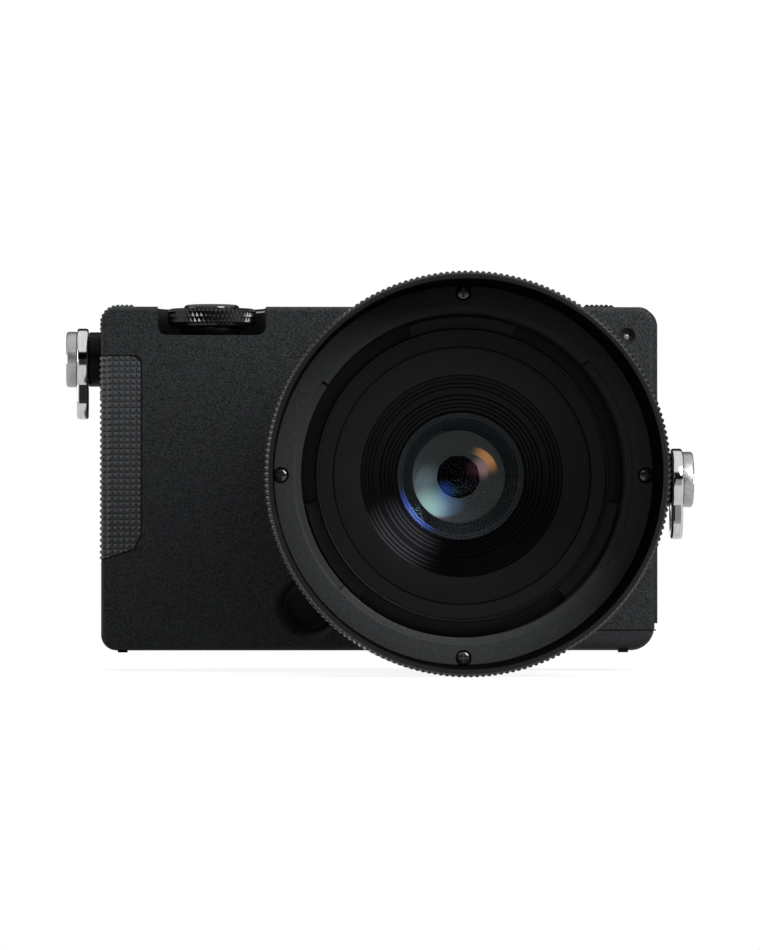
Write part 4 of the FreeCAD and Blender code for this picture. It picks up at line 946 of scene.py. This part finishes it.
def front_dial():
    wall_low = DIAL_LOW + 0.5
    wall_high = DIAL_TOP - 0.1
    row_height = (wall_high - wall_low) / STUD_ROWS
    core = DIAL_RADIUS - STUD_HEIGHT
    bore = 6.0
    lower_bore = 4.06
    step_z = DIAL_LOW + 2.1
    below = [(lower_bore, DIAL_LOW), (core - 0.6, DIAL_LOW), (core - 0.2, DIAL_LOW + 0.1),
             (core - 0.02, DIAL_LOW + 0.3), (core, wall_low)]
    above = [(core, wall_high), (core - 0.2, DIAL_TOP), (core - 0.6, DIAL_TOP), (bore + 0.5, DIAL_TOP),
             (bore, DIAL_TOP - 0.25), (bore, step_z), (lower_bore, step_z)]

    def profile_at(step):
        # a stud's tip is at every other step, and the rows lie half a stud apart
        studs = []
        for row in range(STUD_ROWS):
            tip = (step + row) % 2 == 0
            studs.append((core + (STUD_HEIGHT if tip else 0.0), wall_low + (row + 0.5) * row_height))
        return below + studs + above

    verts, faces = turned_mesh(about_z(DIAL.x, DIAL.y), profile_at, 2 * STUDS)
    piece = make_object("knurled_front_dial", verts, folded(verts, faces, DIAL.x, DIAL.y), 18.0)
    dress(piece, "dial", KNURL_BLACK, ["front_dial"])


def pocket_mark():
    """The short white index line painted on the wall of the dial's pocket, near its right edge."""
    centre = (DIAL.x, DIAL.y)
    z = high("front_case").z - 0.64
    inner = arc(centre, POCKET_RADIUS - 0.05, 8, 33, 8)
    outer = arc(centre, POCKET_RADIUS + 0.05, 33, 8, 8)
    piece = prism("white_index_line", inner + outer, z - 0.17, z + 0.17, seen_from_top)
    dress(piece, "camera", INDEX_WHITE)


def corner_gasket():
    """The dark seal in the seam above the corner cover."""
    lows = low("bottom_corner_cover")
    highs = high("bottom_corner_cover")
    seam = 0.25
    piece = block("corner_seam_gasket", (lows.x + 2, lows.y + 0.8, highs.z - 0.02),
                  (highs.x + 0.35, highs.y - 0.5, highs.z + seam + 0.02))
    dress(piece, "camera", MATTE_BLACK)


def dial_bezel():
    base = low("dial_bezel").z
    top = high("dial_bezel").z
    flange = base + 1.7
    points = [(2.06, base), (4.7, base), (5.6, base + 0.2), (6.2, base + 0.6), (6.5, base + 1.1),
              (6.6, flange - 0.1), (6.5, flange, 0.05), (5.6, flange), (5.4, flange - 0.15),
              (4.0, flange - 0.15), (4.0, top, 0.2), (2.06, top)]
    piece = turned("glossy_dial_bezel", about_z(DIAL.x, DIAL.y), points, 160, True, 30.0)
    dress(piece, "camera", GLOSS_BLACK, ["dial_bezel"])


def shutter_button():
    base = low("shutter_button").z
    top = high("shutter_button").z
    collar_top = base + 0.8
    cap = top - 1.4
    points = [(0, base), (3.0, base, 0.1), (3.0, collar_top, 0.1), (2.0, collar_top), (2.0, cap), (5.3, cap),
              (5.62, cap + 0.22), (5.7, cap + 0.6), (5.64, top - 0.42), (5.42, top - 0.14), (5.05, top),
              (4.2, top - 0.06), (3.0, top - 0.2), (1.6, top - 0.3), (0, top - 0.34)]
    piece = turned("dished_shutter_button", about_z(DIAL.x, DIAL.y), points, 128, False, 40.0)
    dress(piece, "shutter", GLOSS_BLACK, ["shutter_button"])


def record_button():
    node = "record_button"
    centre = middle(node)
    base = low(node).z
    top = high(node).z
    collar = half_width(node)
    radius = collar - BUTTON_COLLAR
    seat = base + COLLAR_THICKNESS
    points = [(0, base), (collar, base), (collar, seat), (radius, seat), (radius, top - 0.45),
              (radius - 0.12, top - 0.16), (radius - 0.42, top), (radius - 0.9, top - 0.03),
              (radius * 0.4, top - 0.13), (0, top - 0.16)]
    piece = turned("red_record_button", about_z(centre.x, centre.y), points, 96, False, 40.0)
    dress(piece, "record", RED_PAINT, [node])


def ridge(start, pitch, margin, steps, base, height):
    """The outline of a rounded ridge. margin is the share of its pitch that it leaves free at each end."""
    points = []
    for step in range(steps + 1):
        share = step / steps
        lift = math.sin(math.pi * share) ** 0.6
        points.append((start + pitch * (margin + (1 - 2 * margin) * share), base + height * lift))
    return points


def post(name, centre, half, bottom, top):
    """An upright square bar."""
    return block(name, (centre.x - half, centre.y - half, bottom), (centre.x + half, centre.y + half, top))


def sliding_switch(node, body, name):
    """A switch whose knob carries rounded ridges across its travel, on a stem with a foot."""
    lows = low(node)
    highs = high(node)
    centre = middle(node)
    pitch = (highs.x - lows.x - 0.3) / SWITCH_RIDGES
    top = highs.z
    shoulder = top - RIDGE_HEIGHT
    outline = [(lows.x, KNOB_LOW), (lows.x, shoulder - 0.25), (lows.x + 0.12, shoulder)]
    for index in range(SWITCH_RIDGES):
        # the last ridge is a lower one, as on the other end of its travel
        tall = RIDGE_HEIGHT * (0.7 if index == SWITCH_RIDGES - 1 else 1.0)
        outline += ridge(lows.x + 0.15 + index * pitch, pitch, 0.08, 8, shoulder, tall)
    outline += [(highs.x - 0.12, shoulder), (highs.x, shoulder - 0.25), (highs.x, KNOB_LOW)]
    foot_top = lows.z + COLLAR_THICKNESS
    knob = prism(name, outline, lows.y, highs.y, seen_from_front, 0.14, 40.0)
    stem = post("stem", centre, SWITCH_STEM, foot_top - 0.2, KNOB_LOW + 0.2)
    foot = post("foot", centre, 2 * SWITCH_STEM, lows.z, foot_top)
    dress(joined([knob, stem, foot]), body, BUTTON_BLACK, [node])


front_dial()
pocket_mark()
corner_gasket()
dial_bezel()
shutter_button()
record_button()
sliding_switch("power_switch", "power", "ridged_power_switch")
sliding_switch("mode_switch", "mode", "ridged_mode_switch")


# The grips
GRIP_LEFT = low("grip_strip").x
GRIP_RIGHT = high("grip_strip").x
GRIP_FRONT = low("grip_strip").y
GRIP_REAR = high("grip_strip").y
GRIP_LOW = low("grip_strip").z
GRIP_HIGH = high("grip_strip").z
PYRAMID_HEIGHT = 0.42
PYRAMID_PITCH = 1.20
TIP_SHARE = 0.07
GRIP_SUNK = -0.5
GRIP_BEND = 1.25
GRIP_GAP = 0.28
GRIP_CORNER = 2.0
THUMB_RIB = 0.36
THUMB_RIB_PITCH = 0.94
THUMB_BEND = 3.8
THUMB_THICKNESS = 0.9
AROUND = ((-1, -1), (1, -1), (1, 1), (-1, 1))


def bent_path(length, corner_x, corner_y, radius, front_length):
    """The place and the outward direction at a length along the front, round the corner and down the side.
    corner_x and corner_y are the centre of the corner's round."""
    turn_length = radius * math.pi / 2
    if length < front_length:
        return (corner_x + front_length - length, corner_y - radius), (0.0, -1.0)
    length -= front_length
    if length < turn_length:
        angle = -math.pi / 2 - length / radius
        out = (math.cos(angle), math.sin(angle))
        return (corner_x + radius * out[0], corner_y + radius * out[1]), out
    length -= turn_length
    return (corner_x - radius, corner_y + length), (-1.0, 0.0)


def grip_strip():
    corner_x = GRIP_LEFT + PYRAMID_HEIGHT + GRIP_BEND
    corner_y = GRIP_FRONT + PYRAMID_HEIGHT + GRIP_BEND
    front_length = GRIP_RIGHT - corner_x
    total = front_length + GRIP_BEND * math.pi / 2 + (GRIP_REAR - corner_y)
    height = GRIP_HIGH - GRIP_LOW
    columns = round(total / PYRAMID_PITCH)
    rows = round(height / PYRAMID_PITCH)
    verts = []
    faces = []

    def spot(column, row, lift):
        (x, y), out = bent_path(total * column / columns, corner_x, corner_y, GRIP_BEND, front_length)
        verts.append((x + out[0] * lift, y + out[1] * lift, GRIP_LOW + height * row / rows))
        return len(verts) - 1

    def grid(lift):
        return [[spot(column, row, lift) for row in range(rows + 1)] for column in range(columns + 1)]

    valleys = grid(0.0)
    inside = grid(GRIP_SUNK)
    for column in range(columns):
        for row in range(rows):
            corners = [valleys[column][row], valleys[column + 1][row], valleys[column + 1][row + 1],
                       valleys[column][row + 1]]
            # a small flat on each tip, as worn moulded rubber has
            tips = [spot(column + 0.5 + across * TIP_SHARE, row + 0.5 + along * TIP_SHARE, PYRAMID_HEIGHT)
                    for across, along in AROUND]
            faces.append(tips)
            for index in range(4):
                other = (index + 1) % 4
                faces.append((corners[index], corners[other], tips[other], tips[index]))
            faces.append((inside[column][row], inside[column][row + 1], inside[column + 1][row + 1],
                          inside[column + 1][row]))
    for column in range(columns):
        for row in (0, rows):
            faces.append((valleys[column][row], valleys[column + 1][row], inside[column + 1][row],
                          inside[column][row]))
    for row in range(rows):
        for column in (0, columns):
            faces.append((valleys[column][row], valleys[column][row + 1], inside[column][row + 1],
                          inside[column][row]))
    piece = make_object("pyramid_grip_strip", verts, faces, 20.0)
    right = GRIP_RIGHT - GRIP_GAP
    bottom = GRIP_LOW + GRIP_GAP
    top = GRIP_HIGH - GRIP_GAP
    outline = [(GRIP_LEFT - 1, bottom), (GRIP_LEFT + 0.3, bottom), (right - 1.4, bottom + 2.2),
               (right, bottom + 5.3)]
    outline += arc((right - GRIP_CORNER, top - GRIP_CORNER), GRIP_CORNER, 0, 90, 6) + [(GRIP_LEFT - 1, top)]
    tool = prism("tool", outline, GRIP_FRONT - 1, GRIP_REAR - GRIP_GAP, seen_from_front)
    carved(piece, tool, "INTERSECT", 20.0)
    dress(piece, "camera", GRIP_RUBBER, ["grip_strip"])


def thumb_grip():
    lows = low("thumb_grip")
    highs = high("thumb_grip")
    rib = THUMB_RIB
    radius = THUMB_BEND - rib
    corner = (lows.x + rib + radius, highs.z - rib - radius)
    top_length = highs.x - corner[0]
    turn_length = radius * math.pi / 2
    total = top_length + turn_length + (corner[1] - lows.z)
    rib_steps = 8
    steps = round(total / THUMB_RIB_PITCH) * rib_steps
    inside_steps = 24

    def spot(length, lift):
        # the path runs left along the top, round the corner and down the side
        if length < top_length:
            return highs.x - length, highs.z - rib + lift
        length -= top_length
        if length < turn_length:
            angle = math.pi / 2 + length / radius
            away = radius + lift
            return corner[0] + away * math.cos(angle), corner[1] + away * math.sin(angle)
        return lows.x + rib - lift, corner[1] - (length - turn_length)

    outline = []
    for step in range(steps + 1):
        wave = abs(math.sin(math.pi * step / rib_steps)) ** 0.7
        outline.append(spot(total * step / steps, rib * wave))
    for step in range(inside_steps, -1, -1):
        outline.append(spot(total * step / inside_steps, -THUMB_THICKNESS))
    piece = prism("ribbed_thumb_rest", outline, lows.y, highs.y, seen_from_front, 0.22, 30.0)
    dress(piece, "camera", GRIP_RUBBER, ["thumb_grip"])


grip_strip()
thumb_grip()


# The strap holders: a spacer, a swinging eyelet and a coin screw on each side
SCREW_RADIUS = 5.7
SCREW_THICK = 2.05
SHOULDER_RADIUS = 3.6
SHANK_RADIUS = 2.6
SHANK_LENGTH = 4.8
WASHER_RADIUS = 5.6
WASHER_BORE = SHANK_RADIUS + 0.05
EYELET_RADIUS = 6.4
EYELET_THICK = 2.4
LOOP_DROP = 8.3
LOOP_RADIUS = 4.0
LOOP_HOLE = 2.1
NECK_FILLET = 1.1
HOLE_FLARE = 0.35
SIDE_GAP = 0.15
CLOSE_GAP = 0.03
SLOT_HALF = 1.05
SLOT_DEEP = 1.0
SLOT_RIM = 0.25


def eyelet_outline(y, z):
    """A ring with a smaller loop below it, with hollow fillets where the neck meets the ring."""
    across = LOOP_RADIUS + NECK_FILLET
    drop = math.sqrt((EYELET_RADIUS + NECK_FILLET) ** 2 - across ** 2)
    meet = math.degrees(math.atan2(-drop, across))
    right = arc((y, z), EYELET_RADIUS, meet, 180 - meet, 72)
    left_fillet = arc((y - across, z - drop), NECK_FILLET, -meet, 0, 8)
    loop = arc((y, z - LOOP_DROP), LOOP_RADIUS, 180, 360, 40)
    right_fillet = arc((y + across, z - drop), NECK_FILLET, 180, 180 + meet, 8)
    return right + left_fillet[1:] + loop + right_fillet[:-1]


def strap_holder(side, body, wall_x, spacer):
    """The screw and the washer of one side, whose eyelet is made here too."""
    node = "strap_" + body
    y = middle(node).y
    z = high(node).z - EYELET_RADIUS
    place = about_x(y, z)

    def out(distance):
        return wall_x + side * distance

    near = spacer + SIDE_GAP
    far = near + EYELET_THICK
    eyelet = prism("eyelet", eyelet_outline(y, z), out(near), out(far), seen_from_side, 0.5, 40.0)
    for radius, centre_z in ((SHOULDER_RADIUS + 0.06, z), (LOOP_HOLE, z - LOOP_DROP)):
        wide = radius + HOLE_FLARE
        tool = turned("tool", about_x(y, centre_z), [
            (0, out(near - 1)), (wide, out(near - 1)), (wide, out(near)), (radius + 0.1, out(near + 0.1)),
            (radius, out(near + HOLE_FLARE)), (radius, out(far - HOLE_FLARE)),
            (radius + 0.1, out(far - 0.1)), (wide, out(far)), (wide, out(far + 1)), (0, out(far + 1))],
            96, False)
        eyelet = carved(eyelet, tool, "DIFFERENCE", 40.0)
    eyelet.name = "polished_" + node
    dress(eyelet, body, BRIGHT_STEELS[side], [node])
    # the washer and the head close most of the gap that the eyelet swings in
    head_near = far + CLOSE_GAP
    head_far = far + SIDE_GAP + SCREW_THICK
    tip = -SHANK_LENGTH
    head = turned("head", place, [
        (0, out(tip)), (SHANK_RADIUS - 0.3, out(tip)), (SHANK_RADIUS, out(tip + 0.3)),
        (SHANK_RADIUS, out(spacer)), (SHOULDER_RADIUS, out(spacer)), (SHOULDER_RADIUS, out(head_near)),
        (SCREW_RADIUS, out(head_near), 0.25), (SCREW_RADIUS, out(head_far), 0.7), (0, out(head_far))],
        144, False, 40.0)
    rise = SLOT_DEEP - SLOT_RIM
    radius = (SCREW_RADIUS ** 2 + rise ** 2) / (2 * rise)
    low_z = z - SLOT_HALF
    high_z = z + SLOT_HALF
    slot = turned("tool", about_z(out(head_far - SLOT_DEEP + radius), y), [
        (0, low_z), (radius, low_z), (radius, high_z), (0, high_z)], 400, False)
    head = carved(head, slot, "DIFFERENCE", 40.0)
    washer = near - CLOSE_GAP
    ring = turned("spacer", place, [
        (WASHER_BORE, out(0)), (WASHER_RADIUS, out(0)), (WASHER_RADIUS, out(washer), 0.35),
        (WASHER_BORE, out(washer))], 128, True, 40.0)
    return head, ring


left = strap_holder(-1, "eyelet_left", low("tripod_sockets").x, 2.5)
right = strap_holder(1, "eyelet_right", high("tripod_sockets").x, 3.35)
coin_screws = joined([left[0], right[0]], 40.0, "strap_coin_screws")
dress(coin_screws, "camera", SATIN_STEEL, ["strap_screws"])
rubber_washers = joined([left[1], right[1]], 40.0, "strap_rubber_washers")
dress(rubber_washers, "camera", COVER_RUBBER, ["strap_spacers"])


# The back and the sides
REAR_TEETH = 60
REAR_TOOTH_WAVE = (0.0, -0.05, -0.28, -0.34, -0.28, -0.05)
REAR_DIAL_BORE = 5.0
SCREEN_BORDER = 3.6
COVER_RIB_PITCH = 0.9


def domed_button(node, body, name, cap_radius):
    """A round button on the back with a softly domed face and a collar inside the case."""
    centre = middle(node)
    inner = low(node).y
    front = high(node).y
    collar = half_width(node)
    seat = inner + COLLAR_THICKNESS
    points = [(0, inner), (collar, inner), (collar, seat), (cap_radius, seat), (cap_radius, front - 0.42),
              (cap_radius - 0.12, front - 0.2), (cap_radius - 0.4, front - 0.07),
              (cap_radius * 0.5, front - 0.01), (0, front)]
    piece = turned(name, about_y(centre.x, centre.z), points, 96, False, 40.0)
    dress(piece, body, BUTTON_BLACK, [node])


def rear_dial():
    centre = middle("rear_dial")
    rear = low("rear_dial").y
    face = high("rear_dial").y
    radius = half_width("rear_dial")
    bore = REAR_DIAL_BORE

    def profile_at(step):
        cut = REAR_TOOTH_WAVE[step % len(REAR_TOOTH_WAVE)]
        return [(bore, rear), (radius - 0.4, rear), (radius + cut, rear + 0.2), (radius + cut, face - 0.35),
                (radius - 0.4 + cut * 0.3, face - 0.08), (radius - 0.8, face), (radius - 1.2, face),
                (radius - 1.35, face - 0.12), (bore + 0.7, face - 0.22), (bore + 0.25, face - 0.1),
                (bore, face - 0.3)]

    steps = REAR_TEETH * len(REAR_TOOTH_WAVE)
    piece = wavy("knurled_rear_dial", about_y(centre.x, centre.z), profile_at, steps, 30.0)
    dress(piece, "back_dial", KNURL_BLACK, ["rear_dial"])


def rounded_outline(left, bottom, right, top, radius, steps):
    left += radius
    bottom += radius
    right -= radius
    top -= radius
    outline = []
    for index, centre in enumerate([(right, top), (left, top), (left, bottom), (right, bottom)]):
        outline += arc(centre, radius, 90 * index, 90 * (index + 1), steps)
    return outline


def rear_screen():
    lows = low("lcd_glass")
    highs = high("lcd_glass")
    border = SCREEN_BORDER
    outline = rounded_outline(lows.x, lows.z, highs.x, highs.z, 1.2, 8)
    piece = prism("rear_screen_glass", outline, lows.y, highs.y, seen_from_front, 0.3, 30.0)
    dress(piece, "camera", SCREEN_BLACK, ["lcd_glass"])
    # the picture area, a little greyer than the black border under the same glass
    inner = rounded_outline(lows.x + border, lows.z + border, highs.x - border, highs.z - border, 0.3, 2)
    area = prism("screen_picture_area", inner, highs.y - 0.1, highs.y - 0.005, seen_from_front)
    dress(area, "camera", SCREEN_GREY)


def cover_ribs(node, body, name, ribs):
    """Raised ribs along the middle of a rubber port cover, which stays as it is."""
    front = low(node).y
    side = high(node).x
    pieces = []
    for index in range(ribs):
        z = middle(node).z + (index - (ribs - 1) / 2) * COVER_RIB_PITCH
        lows = (side - 0.25, front + 2.2, z - 0.22)
        highs = (side - 0.02, front + 7.2, z + 0.22)
        pieces.append(block("rib", lows, highs, 0.1, 2))
    dress(joined(pieces, name=name), body, COVER_RUBBER)


def release_button():
    node = "release_button"
    centre = middle(node)
    front = low(node).y
    rear = high(node).y
    collar = half_width(node)
    radius = collar - BUTTON_COLLAR
    seat = rear - COLLAR_THICKNESS
    points = [(0, front + 0.28), (radius * 0.6, front + 0.24), (radius - 0.75, front + 0.12),
              (radius - 0.5, front + 0.01), (radius - 0.18, front), (radius, front + 0.2), (radius, seat),
              (collar, seat), (collar, rear), (0, rear)]
    piece = turned("dished_release_button", about_y(centre.x, centre.z), points, 128, False)
    dress(piece, "release", RELEASE_BLACK, [node])


def focus_lamp():
    node = "af_lamp"
    centre = middle(node)
    front = low(node).y
    rear = high(node).y
    radius = half_width(node)
    points = [(0, front), (radius * 0.5, front + 0.04), (radius * 0.85, front + 0.16),
              (radius, front + 0.34), (radius, rear), (0, rear)]
    piece = turned("focus_lamp_lens", about_y(centre.x, centre.z), points, 48, False, 50.0)
    dress(piece, "camera", LAMP, [node])


for button, cap_radius in (("ok", 4.2), ("quick", 2.8), ("lock", 2.8), ("menu", 2.8)):
    domed_button(button + "_button", button, "domed_" + button + "_button", cap_radius)
rear_dial()
rear_screen()
cover_ribs("upper_port_cover", "upper_cover", "upper_cover_ribs", 5)
cover_ribs("lower_port_cover", "lower_cover", "lower_cover_ribs", 7)
release_button()
focus_lamp()


# The rings on the lens
RING_BORE = 29.06
RIB_WAVE = (0.0, -0.06, -0.36, -0.42, -0.36, -0.06)
SWITCH_HALF = 3.0
FOCUS_RIDGES = 4


def ribbed_ring(node, body, name, ribs, start, end):
    """A control ring with a band of ribs along the axis, which starts and ends at shares of its width."""
    front = low(node).y
    rear = high(node).y
    radius = half_width(node)
    near = front + (rear - front) * start
    far = front + (rear - front) * end
    # place along the axis, height above the radius, and how much of the ribs' wave it takes
    levels = [(front, -0.25, 0.0), (front + 0.25, 0.0, 0.0),
              (near, 0.0, 0.0), (near + 0.15, -0.3, 0.0), (near + 0.45, -0.3, 0.1), (near + 0.6, 0.0, 1.0),
              (far - 0.6, 0.0, 1.0), (far - 0.45, -0.3, 0.1), (far - 0.15, -0.3, 0.0), (far, 0.0, 0.0),
              (rear - 0.25, 0.0, 0.0), (rear, -0.25, 0.0)]

    def profile_at(step):
        cut = RIB_WAVE[step % len(RIB_WAVE)]
        outside = [(radius + lift + cut * share, y) for y, lift, share in levels]
        return [(RING_BORE, rear), (RING_BORE, front)] + outside

    piece = wavy(name, ABOUT_LENS, profile_at, ribs * len(RIB_WAVE), 28.0)
    dress(piece, body, DARK_METAL, [node])


def focus_switch():
    """Ridges on the knob of the focus switch, which slides along the barrel."""
    node = "focus_switch"
    centre = middle(node)
    front = low(node).y
    rear = high(node).y
    across = math.atan2(centre.z - AXIS_Z, centre.x - AXIS_X)
    out = Vector((math.cos(across), 0, math.sin(across)))
    side = Vector((-math.sin(across), 0, math.cos(across)))
    origin = Vector((AXIS_X, 0, AXIS_Z))
    top = BARREL_RADIUS + 0.4
    base = BARREL_RADIUS - 1.14
    pitch = (rear - front) / FOCUS_RIDGES
    outline = [(front, base), (front, top - 0.45)]
    for index in range(FOCUS_RIDGES):
        outline += ridge(front + index * pitch, pitch, 0.06, 6, top - 0.35, 0.35)
    outline += [(rear, top - 0.45), (rear, base)]

    def place(y, height, sideways):
        spot = origin + out * height + side * sideways
        return (spot.x, y, spot.z)

    piece = prism("ridged_focus_switch", outline, -SWITCH_HALF, SWITCH_HALF, place, 0.12, 40.0)
    dress(piece, "focus_mode", BUTTON_BLACK, [node])


ribbed_ring("focus_ring", "focus", "ribbed_focus_ring", 150, 0.14, 0.86)
ribbed_ring("aperture_ring", "aperture", "ribbed_aperture_ring", 120, 0.30, 0.80)
focus_switch()


# Finishes of the CAD nodes that stay
FINISHES = {
    "black_casing": CASING, "dark_metal": DARK_METAL, "hood_metal": HOOD_METAL, "grip_rubber": GRIP_RUBBER,
    "cover_rubber": COVER_RUBBER, "polished_steel": SATIN_STEEL, "mount_steel": MOUNT_STEEL,
    "black_screw": BLACK_SCREW, "gloss_black": GLOSS_BLACK, "matte_black": MATTE_BLACK,
    "record_red": RED_PAINT, "screen_glass": SCREEN_BLACK, "clear_glass": REAR_GLASS,
    "circuit_board": BOARD_GREEN, "cell": CELL_GREY, "sensor_face": SENSOR, "blade_steel": BLADE_GREY,
    "lamp": LAMP,
}
OWN_FINISH = {"rear_case": REAR_PAINT, "bottom_corner_cover": COVER_PAINT}

for node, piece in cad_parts.items():
    for slot in piece.material_slots:
        base = slot.material.name.split(".")[0] if slot.material else ""
        if node in OWN_FINISH:
            slot.material = OWN_FINISH[node]
        elif base in FINISHES:
            slot.material = FINISHES[base]

plain = [[[float(part) for part in corner] for corner in bounds] for bounds in (cad_bounds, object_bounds())]
